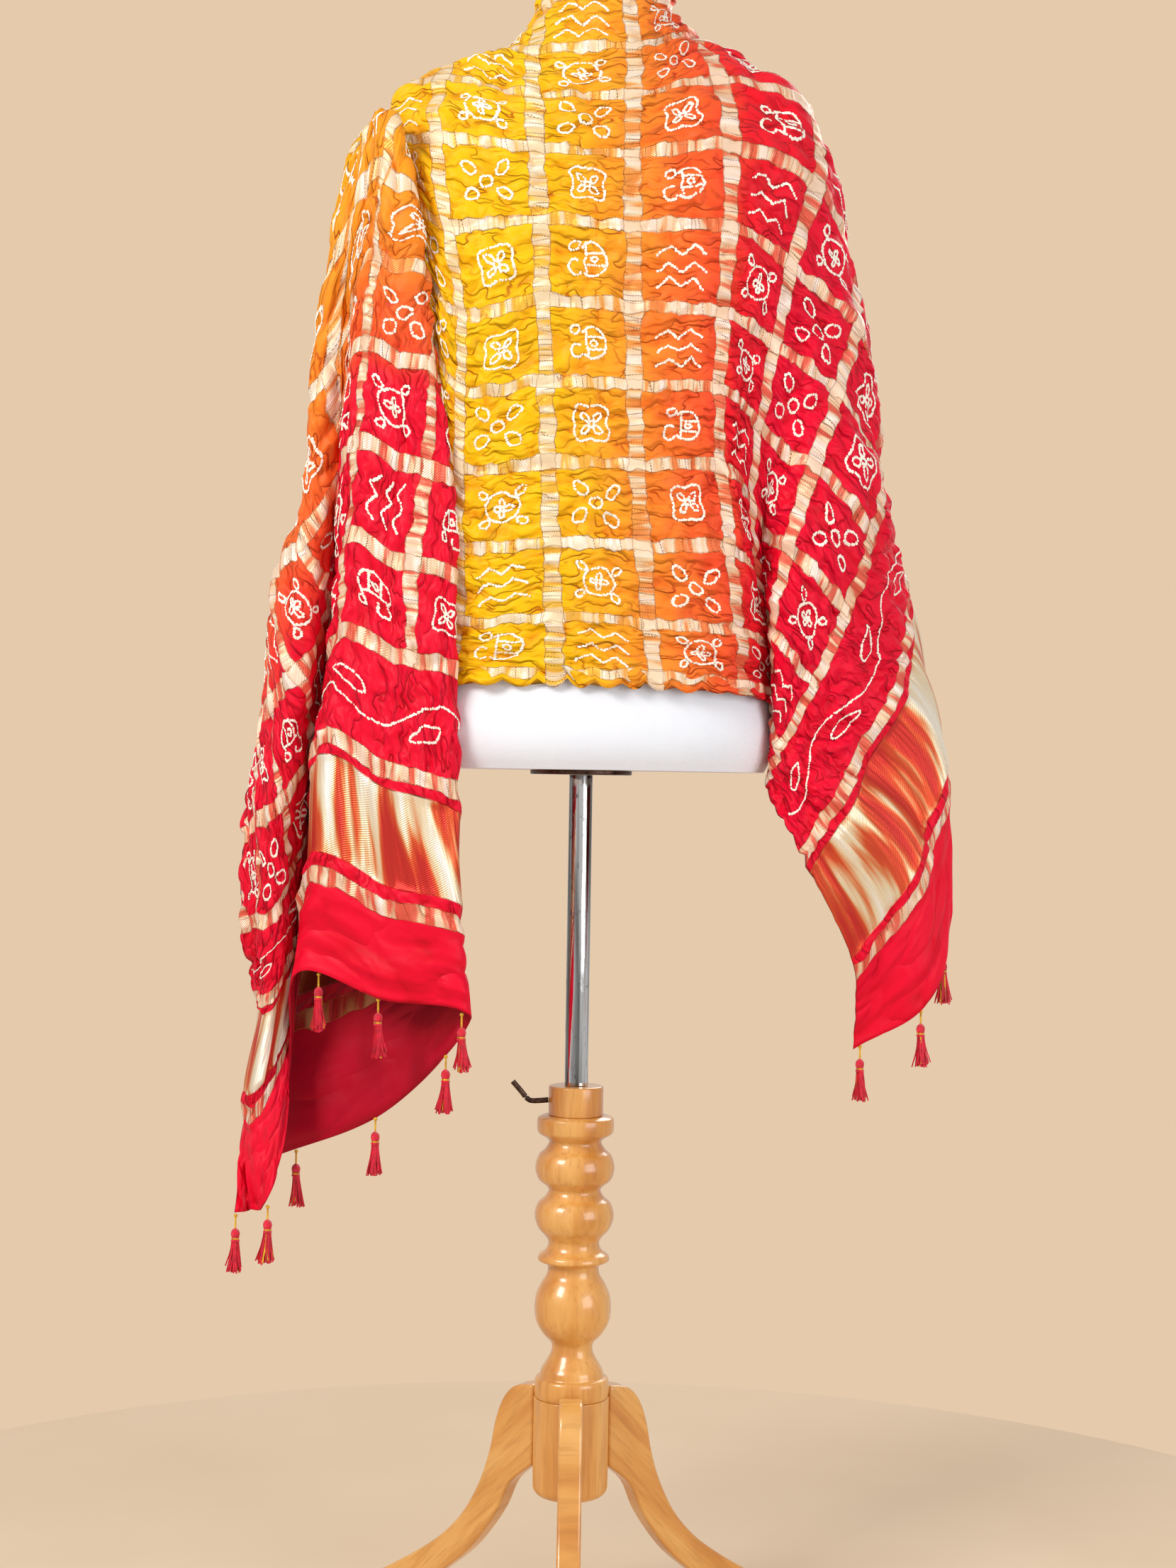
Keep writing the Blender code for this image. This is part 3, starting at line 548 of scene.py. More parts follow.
def quatrefoil():
    """A four-lobed outline round four petals and a small middle."""
    angle = np.linspace(0, 2 * math.pi, 90)
    radius = 16.8 - 2.6 * np.cos(4 * angle)
    outline = np.column_stack([radius * np.cos(angle), radius * np.sin(angle)])
    return [outline, ring(0, 0, 2.4, 2.4), *petals(7.6, 4.6, 2.5, math.pi / 4)]


def elephant():
    """A round head with a hooked trunk, a looped ear and a little lattice inside."""
    return [
        ring(4, 0, 13.5, 14, start=math.radians(130), sweep=-math.radians(258)),
        ring(-11, 11.5, 4.6, 3.2, 0.4),
        ring(-12, -7, 5.6, 6.6, start=math.radians(60), sweep=math.radians(265)),
        np.array([(-1.5, 12.0), (-1.5, -12.0)], float),
        np.array([(-1.5, 5.5), (16.0, 5.5)], float),
        np.array([(-1.5, -5.5), (16.0, -5.5)], float),
        ring(6.5, 0, 3.0, 2.4),
    ]


def zigzags():
    """Three zigzag lines, one over another."""
    across = np.linspace(-21, 21, 5)
    heights = np.array((-4, 3.5, -4, 3.5, -4))
    return [np.column_stack([across, middle + heights]) for middle in (14, 0, -14)]


MOTIFS = (turtle, rings, quatrefoil, elephant, zigzags)


def vine():
    """A waving stem with a leaf on each bend, along the whole width of the cloth."""
    length = 10 * ROW_PITCH
    wave = 2 * ROW_PITCH
    t = np.linspace(12, length - 12, 260)
    strokes = [np.column_stack([15 * np.sin(2 * math.pi * t / wave), t])]
    for k in range(9):
        middle = (k + 0.75) * wave / 2
        side = 1 if k % 2 else -1
        strokes.append(ring(side * 11, middle, 15, 6.5, math.radians(90 - 22 * side), point=0.35))
    return strokes


def evenly(stroke, spacing):
    """Points at an even spacing along a stroke."""
    steps = np.linalg.norm(np.diff(stroke, axis=0), axis=1)
    walked = np.concatenate([[0], np.cumsum(steps)])
    count = max(int(round(walked[-1] / spacing)), 2)
    at = np.linspace(0, walked[-1], count + 1)
    if np.allclose(stroke[0], stroke[-1]):
        at = at[:-1]
    return np.column_stack([np.interp(at, walked, stroke[:, axis]) for axis in range(2)])


def knot_places():
    """Column and row of every tied knot."""
    chance = np.random.default_rng(SEED + 20)
    places = []
    for column in range(int(GRID_FROM) + 1, int(GRID_TO) + 1):
        for row in range(10):
            from_middle = 4 - row if row <= 4 else row - 5
            motif = MOTIFS[(column + 1 - from_middle) % len(MOTIFS)]
            turn = chance.uniform(-MOTIF_TURN, MOTIF_TURN)
            shift = chance.uniform(-MOTIF_SHIFT, MOTIF_SHIFT, 2)
            size = chance.uniform(0.95, 1.08)
            turned = np.array([[math.cos(turn), math.sin(turn)], [-math.sin(turn), math.cos(turn)]])
            middle_row = row + 0.5 + EDGE_MOTIF_SHIFT * ((row == 0) - (row == 9))
            for stroke in motif():
                dots = evenly(stroke * size, KNOT_SPACING) @ turned + shift
                places.append((column - 0.5, middle_row) + dots / PITCH)
    for middle in ((EXTRA_BANDS[1] + GRID_FROM) / 2, (GRID_TO + EXTRA_BANDS[2]) / 2):
        for stroke in vine():
            places.append((middle, 0.0) + evenly(stroke, KNOT_SPACING) / PITCH)
    found = np.vstack(places)
    s, t = (found * PITCH / MOTIF_WARP_LENGTH).T
    warp = MOTIF_WARP * np.column_stack([value_noise(s, t, SEED + 21), value_noise(s, t, SEED + 22)])
    return found + (chance.normal(0.0, KNOT_STRAY, found.shape) + warp) / PITCH


def make_knots(cloth, reverse):
    """Every knot as a small dome on one side of the cloth, all in one mesh."""
    places = knot_places()
    chance = np.random.default_rng(SEED + 23)
    count = len(places)
    size = KNOT_RADIUS * chance.uniform(0.8, 1.2, count)
    layer = layer_of(cloth, reverse)
    height = KNOT_HEIGHT * chance.uniform(0.7, 1.2, count)
    corners, normals = surface_points(layer, places[:, 0], places[:, 1])
    rings_of = [corners + normals * height[:, None]]
    for k in range(KNOT_SIDES):
        turn = 2 * math.pi * k / KNOT_SIDES
        columns, rows = (places + size[:, None] * (math.cos(turn), math.sin(turn)) / PITCH).T
        edge, edge_normals = surface_points(layer, columns, np.clip(rows, 0, 10))
        rings_of.append(edge + edge_normals * KNOT_LIFT)
    points = np.stack(rings_of, axis=1).reshape(-1, 3)
    faces = []
    for dot in range(count):
        first = dot * (KNOT_SIDES + 1)
        for k in range(KNOT_SIDES):
            here = first + 1 + k
            following = first + 1 + (k + 1) % KNOT_SIDES
            faces.append((first, following, here) if reverse else (first, here, following))
    name = "shawl_knots_reverse" if reverse else "shawl_knots"
    mesh = mesh_from(name, points, faces)
    mesh.materials.append(knot_material())
    mesh.shade_smooth()
    return dress(name, mesh, ())


def mesh_from(name, points, faces):
    """A mesh in the frame's metres from points in millimetres about the stand's axis."""
    mesh = bpy.data.meshes.new(name)
    mesh.from_pydata((np.asarray(points, float) * MM + AXIS).tolist(), [], faces)
    mesh.update()
    return mesh


def show(name, data):
    """An object in the scene for a mesh, a light or a camera."""
    shown = bpy.data.objects.new(name, data)
    bpy.context.scene.collection.objects.link(shown)
    return shown


def dress(name, mesh, nodes):
    """Show a mesh as one piece of the object, in place of the nodes that it stands for."""
    piece = show(name, mesh)
    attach(piece, "root")
    if nodes:
        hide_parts(*nodes)
    return piece


def loft(name, sections, sides, nodes, surface, squareness=2.0):
    """A closed body through level sections: height, middle_x, middle_y, half_width, half_depth."""
    turn = np.arange(sides) * 2 * math.pi / sides
    cosine = np.cos(turn)
    sine = np.sin(turn)
    round_x = np.sign(cosine) * np.abs(cosine) ** (2 / squareness)
    round_y = np.sign(sine) * np.abs(sine) ** (2 / squareness)
    points = []
    for height, middle_x, middle_y, half_width, half_depth in sections:
        points.append(np.column_stack([middle_x + round_x * half_width, middle_y + round_y * half_depth,
                                       np.full(sides, height)]))
    faces = []
    for level in range(len(sections) - 1):
        for k in range(sides):
            a = level * sides + k
            b = level * sides + (k + 1) % sides
            faces.append((a, b, b + sides, a + sides))
    faces.append(tuple(range(sides - 1, -1, -1)))
    faces.append(tuple(range((len(sections) - 1) * sides, len(sections) * sides)))
    mesh = mesh_from(name, np.vstack(points), faces)
    mesh.materials.append(surface)
    mesh.shade_smooth()
    mesh.set_sharp_from_angle(angle=math.radians(50))
    return dress(name, mesh, nodes)


def turned(name, profile, slot, nodes, surface, sides=96):
    """A turned body from heights and radii, lowest first."""
    sections = [(height, 0, 0, radius, radius) for height, radius in profile]
    return loft(name, sections, sides, nodes, surface)


def rounded_ends(foot, top, radius, round_foot, round_top, steps=6):
    """Heights and radii of a straight bar with rounded edges at its two ends."""
    turns = [math.pi / 2 * k / steps for k in range(steps + 1)]
    short = [(1 - math.cos(turn), 1 - math.sin(turn)) for turn in turns]
    return ([(foot + round_foot * drop, radius - round_foot * inset) for drop, inset in short]
            + [(top - round_top * drop, radius - round_top * inset) for inset, drop in short])


def linear(code):
    """A colour in the shader's own scale from its hex code."""
    values = []
    for k in range(0, 6, 2):
        share = int(code[k:k + 2], 16) / 255
        values.append(share / 12.92 if share <= 0.04045 else ((share + 0.055) / 1.055) ** 2.4)
    return (*values, 1.0)


class Value:
    """One number of a material's graph; a sum, product or power of it adds a node."""

    def __init__(self, graph, socket):
        self.graph = graph
        self.socket = socket

    def __add__(self, other):
        return self.graph.math("ADD", self, other)

    def __sub__(self, other):
        return self.graph.math("SUBTRACT", self, other)

    def __rsub__(self, other):
        return self.graph.math("SUBTRACT", other, self)

    def __mul__(self, other):
        return self.graph.math("MULTIPLY", self, other)

    def __truediv__(self, other):
        return self.graph.math("DIVIDE", self, other)

    def __pow__(self, other):
        return self.graph.math("POWER", self, other)

    def __abs__(self):
        return self.graph.math("ABSOLUTE", self)


class Graph:
    """Short ways to add nodes to one material. A colour may be given as its hex code."""

    def __init__(self, name):
        self.material = bpy.data.materials.new(name)
        self.material.use_nodes = True
        self.tree = self.material.node_tree
        self.shader = self.tree.nodes["Principled BSDF"]

    def add(self, kind, inputs, **settings):
        """A node with its settings, and its inputs fed by name or number."""
        node = self.tree.nodes.new(kind)
        for key, value in settings.items():
            setattr(node, key, value)
        for socket, value in inputs.items():
            self.feed(node.inputs[socket], value)
        return node

    def feed(self, socket, value):
        """Link an output to a socket, or set the socket's own value."""
        if isinstance(value, Value):
            value = value.socket
        if isinstance(value, bpy.types.NodeSocket):
            self.tree.links.new(value, socket)
        else:
            socket.default_value = linear(value) if isinstance(value, str) else value

    def math(self, operation, first, second=0.0, clamp=False):
        node = self.add("ShaderNodeMath", {0: first, 1: second}, operation=operation, use_clamp=clamp)
        return Value(self, node.outputs[0])

    def most(self, first, second):
        return self.math("MAXIMUM", first, second)

    def parts(self, vector):
        """The three numbers of a vector."""
        node = self.add("ShaderNodeSeparateXYZ", {0: vector})
        return [Value(self, output) for output in node.outputs]

    def vector(self, *parts):
        return self.add("ShaderNodeCombineXYZ", dict(enumerate(parts))).outputs[0]

    def mix(self, share, first, second, blend="MIX"):
        """A colour between two others."""
        node = self.add("ShaderNodeMix", {0: share, 6: first, 7: second}, data_type="RGBA", blend_type=blend)
        return node.outputs[2]

    def blend(self, share, first, second):
        """A number between two others."""
        node = self.add("ShaderNodeMix", {0: share, 2: first, 3: second}, data_type="FLOAT")
        return Value(self, node.outputs[0])

    def ramp(self, value, stops):
        """A colour from places and hex codes along a ramp."""
        node = self.add("ShaderNodeValToRGB", {"Fac": value})
        points = node.color_ramp.elements
        while len(points) < len(stops):
            points.new(1.0)
        for point, (place, code) in zip(points, stops):
            point.position = place
            point.color = linear(code)
        return node.outputs["Color"]

    def noise(self, vector, scale, detail=2.0, roughness=0.5):
        """Noise from 0 to 1; a pair of scales draws it out along one way of the cloth."""
        if isinstance(scale, tuple):
            vector = self.scaled(vector, (*scale, 1.0))
            scale = 1.0
        inputs = {"Vector": vector, "Scale": scale, "Detail": detail, "Roughness": roughness}
        return Value(self, self.add("ShaderNodeTexNoise", inputs).outputs["Fac"])

    def stray(self, vector, scale, size, detail=2.0):
        """Noise about 0, of the given size from its least to its most."""
        return (self.noise(vector, scale, detail) - 0.5) * size

    def wave(self, vector, direction, scale, distortion=0.0):
        inputs = {"Vector": vector, "Scale": scale, "Distortion": distortion}
        node = self.add("ShaderNodeTexWave", inputs, wave_type="BANDS", bands_direction=direction)
        return Value(self, node.outputs["Fac"])

    def scaled(self, vector, factors):
        return self.add("ShaderNodeMapping", {"Vector": vector, "Scale": factors}).outputs["Vector"]

    def place(self):
        return self.add("ShaderNodeTexCoord", {}).outputs["Object"]

    def crease_lines(self, value, half_width):
        """1 along the thin lines where a noise passes its middle, 0 elsewhere."""
        return self.below(abs(value - 0.5), half_width * 0.5, half_width * 0.5)

    def within(self, value, start, end, soft):
        """1 where the value is from start to end, 0 outside, with soft edges."""
        return self.below(abs(value - (start + end) / 2), (end - start) / 2, soft)

    def below(self, value, limit, soft):
        """1 where the value is under the limit."""
        inputs = {"Value": value, "From Min": limit - soft, "From Max": limit + soft,
                  "To Min": 1.0, "To Max": 0.0}
        node = self.add("ShaderNodeMapRange", inputs, interpolation_type="SMOOTHSTEP")
        return Value(self, node.outputs["Result"])

    def bump(self, height, distance, strength, **below):
        inputs = {"Height": height, "Distance": distance, "Strength": strength, **below}
        return self.add("ShaderNodeBump", inputs).outputs["Normal"]

    def finish(self, colour, roughness, **inputs):
        """The material, with the shader's inputs fed; an underscore stands for a space in a name."""
        inputs = {"Base Color": colour, "Roughness": roughness, **inputs}
        for name, value in inputs.items():
            self.feed(self.shader.inputs[name.replace("_", " ")], value)
        return self.material


# The dye along the cloth: column, face colour, reverse colour. The reverse colour is the face's dye darkened,
# as painted shade.
DYES = [
    (-12.1, "EA0230", "B00426"),
    (-5.3, "EC0830", "B20C28"),
    (-4.7, "F6582A", "C24423"),
    (-3.6, "F98A24", "C86A20"),
    (-2.5, "FAA01C", "CC7C1C"),
    (-1.9, "FAB60A", "CC9210"),
    (1.0, "FBC006", "CC980E"),
    (1.45, "FBAE18", "CC8A16"),
    (2.05, "FA8E2A", "CA7022"),
    (2.5, "F96A2A", "C65222"),
    (2.95, "F4482A", "C03A20"),
    (3.25, "EA1628", "B0141E"),
    (4.2, "EA0230", "B00426"),
    (10.1, "EA0230", "B00426"),
]

# The dye's stray and slant and the softness of the panels' ends, in columns and rows.
DYE_STRAY = 0.7
DYE_SLANT = 0.16
SLANT_FROM_ROW = 3.5
SLANT_TO_COLUMN = -3.2
PANEL_SOFT = 0.012

# Painted shade: how much the creases, their sharpest parts and the drawn crease lines darken the dye, and to
# what colour.
PAINTED_CREASE_SHADES = ((0.45, "E8601C"), (0.80, "B8481C"), (0.80, "B04A18"))
GOLD_CREASE_SHADE = "B0682A"
GOLD_OUTLINE = "A65C1E"
# The gold bands' satin, from gold to near white; its palest stops are painted highlights.
SATIN_WITH_HIGHLIGHTS = [(0.38, "E2B67C"), (0.46, "F2D6A8"), (0.54, "FBE9C8"), (0.64, "FFF8E8")]
# The reverse's satin: its own copper-red weave, darkened further as painted shade.
SATIN_REVERSE = [(0.36, "8A3E20"), (0.5, "B87448"), (0.66, "DDB284")]
# The brocade from copper to near white; the stop shown follows the folds' height and streaks, as painted
# highlight and painted shade.
BROCADE_WITH_FOLD_LIGHT = [(0.34, "D23830"), (0.45, "E25A34"), (0.50, "EC9A68"), (0.56, "F6DCB4"), (0.70, "FFF3E0")]
# The reverse's brocade: its own red-ground weave, darkened further as painted shade.
BROCADE_REVERSE = [(0.34, "6E1A14"), (0.55, "9C3A22"), (0.80, "C88A5A")]

# The softness of a woven edge and how far lines stray from straight, in millimetres. The threads' turn
# is in radians for each millimetre.
BAND_SOFT = 0.35
EXTRA_BAND_HALF_WIDTH = BAND_HALF_WIDTH + 1.0
BAND_STRAY = 12.0
ROW_BAND_STRAY = 14.0
CREASE_STRAY = 26.0
THREAD_TURN = 2.6

# Depth of the fine relief, in metres.
RELIEF_DEPTH = 0.0050
THREAD_DEPTH = 0.00012

# How far the wood's grain is drawn out.
TURNED_STRETCH = 0.10
SAWN_STRETCH = 0.08


def silk_material(name, reverse):
    """Dyed silk with woven gold bands and brocade, from the weave's own columns and rows, with painted shade
    in its creases and painted highlights on its gold.
    """
    graph = Graph(name)
    weave = graph.add("ShaderNodeAttribute", {}, attribute_type="GEOMETRY", attribute_name="weave")
    column, row, puff = graph.parts(weave.outputs["Vector"])
    s = column * COLUMN_PITCH
    t = row * ROW_PITCH
    flat = graph.vector(s, t)

    # The dye, which runs a little aslant on the left, with painted shade in its creases and along their drawn
    # lines.
    slant = graph.most(row - SLANT_FROM_ROW, 0.0) * DYE_SLANT * graph.below(column, SLANT_TO_COLUMN, 0.8)
    dyed = column + graph.stray(flat, 0.02, DYE_STRAY, 3.0) + slant
    span = LAST_COLUMN - FIRST_COLUMN
    # The reverse takes darker copies of the dyes, as painted shade.
    stops = [((at - FIRST_COLUMN) / span, behind if reverse else front) for at, front, behind in DYES]
    dye = graph.ramp((dyed - FIRST_COLUMN) / span, stops)
    closed = graph.math("SUBTRACT", 1.0, puff, clamp=True)
    crease = closed ** 2.2
    swept = graph.vector(s, t + graph.stray(flat, 0.035, CREASE_STRAY))
    pulled = graph.noise(swept, (0.018, 0.048))
    line_strength = graph.math("SUBTRACT", graph.noise(flat, 0.05, 1.0) * 3.0, 1.0, clamp=True)
    worked = graph.within(column, EXTRA_BANDS[0], EXTRA_BANDS[-1], 0.2)
    crease_shade_lines = graph.crease_lines(pulled, 0.015) * line_strength * worked
    # Painted shade: the dye darkens with the creases' depth, most in their sharpest parts, and along the
    # crease lines.
    for where, (share, shade) in zip((crease, closed ** 7.0, crease_shade_lines), PAINTED_CREASE_SHADES):
        dye = graph.mix(where * share, dye, shade, "MULTIPLY")
    dye = graph.mix(graph.noise(flat, 0.05) * 0.16, dye, "FFE9A8", "SOFT_LIGHT")

    # The gold bands: first across the cloth, then along it, each with its core inside the woven outline.
    bands_at = s + graph.stray(flat, 0.045, BAND_STRAY)
    rows_at = t + graph.stray(flat, 0.05, ROW_BAND_STRAY)

    def woven(away, half_width):
        return [graph.below(away, half_width - edge, BAND_SOFT) for edge in (0.0, BAND_EDGE)]

    in_grid = graph.within(column, GRID_FROM - 0.12, GRID_TO + 0.12, 0.02)
    in_rows = graph.within(column, GRID_FROM - 0.04, GRID_TO + 0.04, 0.02)
    to_band = graph.math("PINGPONG", bands_at, COLUMN_PITCH / 2)
    band, core = [share * in_grid for share in woven(to_band, BAND_HALF_WIDTH)]
    for at in EXTRA_BANDS:
        extra = woven(abs(bands_at - at * COLUMN_PITCH), EXTRA_BAND_HALF_WIDTH)
        band = graph.most(band, extra[0])
        core = graph.most(core, extra[1])
    outer = 1.0 - graph.within(row, 0.5, 9.5, 0.01)
    to_row = graph.math("PINGPONG", rows_at, ROW_PITCH / 2) + outer * ROW_PITCH
    hidden = graph.below(graph.noise(flat, 0.028, 1.0), 0.44, 0.02) * ROW_PITCH
    for at in SELVEDGE_BANDS:
        to_row = graph.math("MINIMUM", to_row, abs(rows_at - at * ROW_PITCH) + hidden)
    row_band, row_core = [share * in_rows for share in woven(to_row, ROW_BAND_HALF_WIDTH)]
    gold = graph.most(band, row_band)
    both = band * row_band
    single = 1.0 - both
    at_crossing = both * (1.0 - core * row_core)
    outline = graph.math("MAXIMUM", gold - graph.most(core, row_core), at_crossing, clamp=True)

    def across_bands(along, over, detail):
        """Noise drawn out over each band's width, whichever way the band runs."""
        on_rows, on_columns = [graph.noise(flat, scale, detail) for scale in ((over, along), (along, over))]
        return graph.blend(band, on_rows, on_columns)

    # Satin patches: partly the zari's own tone, partly painted highlight where they run palest.
    patches = graph.blend(both, across_bands(0.010, 0.088, 1.8), 0.56)
    across = graph.crease_lines(across_bands(0.012, 0.105, 0.0), 0.024) * (line_strength * 0.8 + 0.2) * single
    satin = graph.ramp(patches, SATIN_REVERSE if reverse else SATIN_WITH_HIGHLIGHTS)
    # Painted shade: darker lines across the bands at their creases, and the satin darkened in the cloth's
    # creases.
    satin = graph.mix(across * 0.42, satin, GOLD_CREASE_SHADE)
    satin = graph.mix(crease * 0.35, satin, "D9A566", "MULTIPLY")
    drawn_in = graph.below(patches, 0.455, 0.03) * single
    satin = graph.mix(drawn_in * 0.56 + 0.18, satin, dye)

    # The brocade of the two end panels: copper ground and pale gold weft, with painted highlights on its fold
    # tops and satin streaks and painted shade in its fold valleys.
    brocade = graph.most(*[graph.within(column, start, end, PANEL_SOFT) for start, end in BROCADES])
    streaks = graph.noise(flat, (0.006, 0.075), 2.5)
    sheen_at = puff * 0.30 + streaks * 0.75 + graph.stray(flat, (0.004, 0.024), 0.9, 1.0)
    brocaded = graph.ramp(sheen_at, BROCADE_REVERSE if reverse else BROCADE_WITH_FOLD_LIGHT)

    colour = graph.mix(brocade, dye, brocaded)
    colour = graph.mix(gold, colour, satin)
    colour = graph.mix(outline * 0.42, colour, GOLD_OUTLINE)
    metal_places = graph.most(gold, brocade)
    metal = graph.math("MINIMUM", gold * 0.22 + brocade * 0.55, 0.6)

    # The fine relief: crumples of the dyed silk, dents of the bands, streaks and threads of the metal.
    crumpled = graph.noise(swept, (0.030, 0.070), 1.8) * 0.55 + abs(pulled - 0.5) * worked * 5.0
    crumpled = (crumpled - crease_shade_lines * 0.22) * (worked * 0.6 + 0.4)
    crumpled = crumpled + abs(graph.noise(swept, (0.021, 0.011), 1.6) - 0.5) * 5.5 * (1.0 - worked)
    dents = patches * 1.4 - across * 0.25
    height = crumpled * (1.0 - metal_places) + dents * gold + streaks * brocade * 0.8
    threads = graph.math("SINE", (s + t) * THREAD_TURN) * metal_places
    normal = graph.bump(threads, THREAD_DEPTH, 0.8, Normal=graph.bump(height, RELIEF_DEPTH, 1.0))
    return graph.finish(colour, 0.52 - metal_places * 0.18, Normal=normal, Metallic=metal, Sheen_Weight=0.01,
                        Sheen_Roughness=0.4, Specular_IOR_Level=0.17)


def knot_material():
    """Undyed silk where it was tied, off-white with a trace of dye."""
    graph = Graph("undyed_knots")
    colour = graph.ramp(graph.noise(graph.place(), 420.0), [(0.3, "F3E2C6"), (0.6, "FBF6EC")])
    return graph.finish(colour, 0.6, Sheen_Weight=0.1)


def thread_material(name, code, shade):
    """Twisted silk thread: fine slanting plies over a varied dye."""
    graph = Graph(name)
    place = graph.place()
    colour = graph.ramp(graph.noise(place, 160.0), [(0.35, shade), (0.62, code)])
    plies = graph.wave(place, "DIAGONAL", 900.0)
    return graph.finish(colour, 0.5, Normal=graph.bump(plies, 0.0002, 0.7), Sheen_Weight=0.2)


def cover_material():
    """Fine white knit with a faint rib and soft unevenness of the padding."""
    graph = Graph("white_knit")
    place = graph.place()
    stitches = graph.wave(place, "X", 260.0, 1.5) * graph.wave(place, "Z", 300.0)
    soft = graph.noise(place, 9.0, 3.0)
    colour = graph.ramp(soft, [(0.3, "EAEDF6"), (0.7, "F4F6FC")])
    normal = graph.bump(stitches, 0.0003, 0.6, Normal=graph.bump(soft, 0.004, 0.4))
    return graph.finish(colour, 0.85, Normal=normal, Sheen_Weight=0.15)


def wood_material(name, sawn):
    """Varnished honey-coloured hardwood, with its grain up the turned parts and down the sawn legs."""
    graph = Graph(name)
    place = graph.place()
    grained = graph.scaled(place, (1.0, 1.0, TURNED_STRETCH))
    if sawn:
        x, y, height = graph.parts(place)
        x = x - AXIS[0]
        y = y - AXIS[1]
        out = graph.math("SQRT", x * x + y * y)
        grained = graph.vector(out + height, (out - height) * SAWN_STRETCH, (x - y) * SAWN_STRETCH)
    long_grain = graph.noise(grained, 30.0, 4.0, 0.55)
    fine_grain = graph.noise(grained, 260.0)
    colour = graph.ramp(long_grain, [(0.30, "C07C34"), (0.46, "D99A4E"), (0.60, "E5AE64"), (0.75, "D0924A")])
    colour = graph.mix(graph.below(fine_grain, 0.42, 0.08) * 0.22, colour, "A4672C")
    colour = graph.mix(graph.noise(place, 7.0) * 0.28, colour, "EDBE78", "SOFT_LIGHT")
    return graph.finish(colour, long_grain * 0.12 + 0.24, Normal=graph.bump(fine_grain, 0.0002, 0.4),
                        Coat_Weight=0.6, Coat_Roughness=0.1)


def steel_material():
    """Bright plated tube with painted dark reflection streaks along it, scuffs along it and a few dark marks.
    """
    graph = Graph("plated_steel")
    place = graph.place()

    def drawn(stretch, scale, detail, roughness):
        return graph.noise(graph.scaled(place, (1.0, 1.0, stretch)), scale, detail, roughness)

    marks = graph.below(drawn(0.4, 150.0, 4.0, 0.7), 0.39, 0.03)
    # Painted reflection: dark and bright streaks along the tube stand in for the surroundings mirrored in the
    # chrome.
    colour = graph.ramp(drawn(0.03, 130.0, 2.0, 0.5), [(0.38, "6E6A68"), (0.50, "B4B5B7"), (0.60, "E8E9EB")])
    colour = graph.mix(marks * 0.60, colour, "4E4640")
    normal = graph.bump(drawn(0.06, 700.0, 3.0, 0.6), 0.0002, 0.3)
    return graph.finish(colour, marks * 0.3 + 0.08, Normal=normal, Metallic=1.0)


def bronze_material():
    """Dark bronzed steel, worn a little lighter in patches."""
    graph = Graph("dark_bronzed")
    worn = graph.noise(graph.place(), 150.0, 3.0, 0.6)
    colour = graph.ramp(worn, [(0.35, "3A2A24"), (0.7, "6E5548")])
    return graph.finish(colour, worn * 0.2 + 0.28, Normal=graph.bump(worn, 0.0003, 0.4), Metallic=1.0)


# One tassel, in millimetres below its tie on the hem.
TIE_RADIUS = 1.7
YARN_RADIUS = 0.55
YARN_REACH = 0.5
YARN_TURNS = 3.5
BINDING_REACH = 3.35
BINDING_TOP = 20.9
BINDING_PITCH = 0.75
BINDING_RADIUS = 0.42
THREAD_LENGTH = 15.0
TASSEL_HEAD = [
    # drop, radius
    (13.0, 0.4), (13.6, 1.5), (14.6, 2.7), (16.2, 3.8), (18.2, 4.2), (20.0, 4.0), (21.2, 3.4),
    (22.0, 3.0), (22.8, 3.2), (24.0, 3.9), (25.0, 4.2),
]
SKIRT_TOP = 23.0
SKIRT_STRANDS = 72
SKIRT_LENGTH = (25.0, 31.5)
SKIRT_REACH = (1.0, 6.0)
SKIRT_LEAN = 2.0
STRAND_RADIUS = 0.75
STRAND_SWAY = 0.9
YELLOW_SHARE = 0.10


def polar(radius, turn, height):
    """A point at a distance and heading from the vertical axis."""
    return Vector((radius * math.cos(turn), radius * math.sin(turn), height))


def join_circles(shaped, circles, index):
    """The faces between neighbouring circles of vertices, and the two closed ends."""
    sides = len(circles[0])
    for upper, lower in zip(circles, circles[1:]):
        for k in range(sides):
            following = (k + 1) % sides
            shaped.faces.new((upper[k], upper[following], lower[following], lower[k])).material_index = index
    for end in (circles[0], circles[-1]):
        shaped.faces.new(end).material_index = index


def add_tube(shaped, path, radius, sides, index):
    """A tube of constant radius along a path."""
    circles = []
    for k, point in enumerate(path):
        ahead = path[min(k + 1, len(path) - 1)] - path[max(k - 1, 0)]
        ahead.normalize()
        across = ahead.orthogonal().normalized()
        other = ahead.cross(across)
        offsets = [polar(radius, 2 * math.pi * side / sides, 0.0) for side in range(sides)]
        circles.append([shaped.verts.new(point + across * offset.x + other * offset.y) for offset in offsets])
    join_circles(shaped, circles, index)


def add_turned(shaped, profile, sides, index):
    """A turned body about the vertical axis, from drops and radii."""
    turns = [2 * math.pi * k / sides for k in range(sides)]
    join_circles(shaped, [[shaped.verts.new(polar(radius, turn, -drop)) for turn in turns]
                          for drop, radius in profile], index)


def finished_mesh(shaped, name, place, surfaces, sharp):
    """A mesh in metres from a body shaped in millimetres about its own place."""
    bmesh.ops.recalc_face_normals(shaped, faces=shaped.faces)
    bmesh.ops.scale(shaped, vec=(MM, MM, MM), verts=shaped.verts)
    bmesh.ops.translate(shaped, vec=place, verts=shaped.verts)
    mesh = bpy.data.meshes.new(name)
    shaped.to_mesh(mesh)
    shaped.free()
    for surface in surfaces:
        mesh.materials.append(surface)
    mesh.shade_smooth()
    mesh.set_sharp_from_angle(angle=math.radians(sharp))
    return mesh


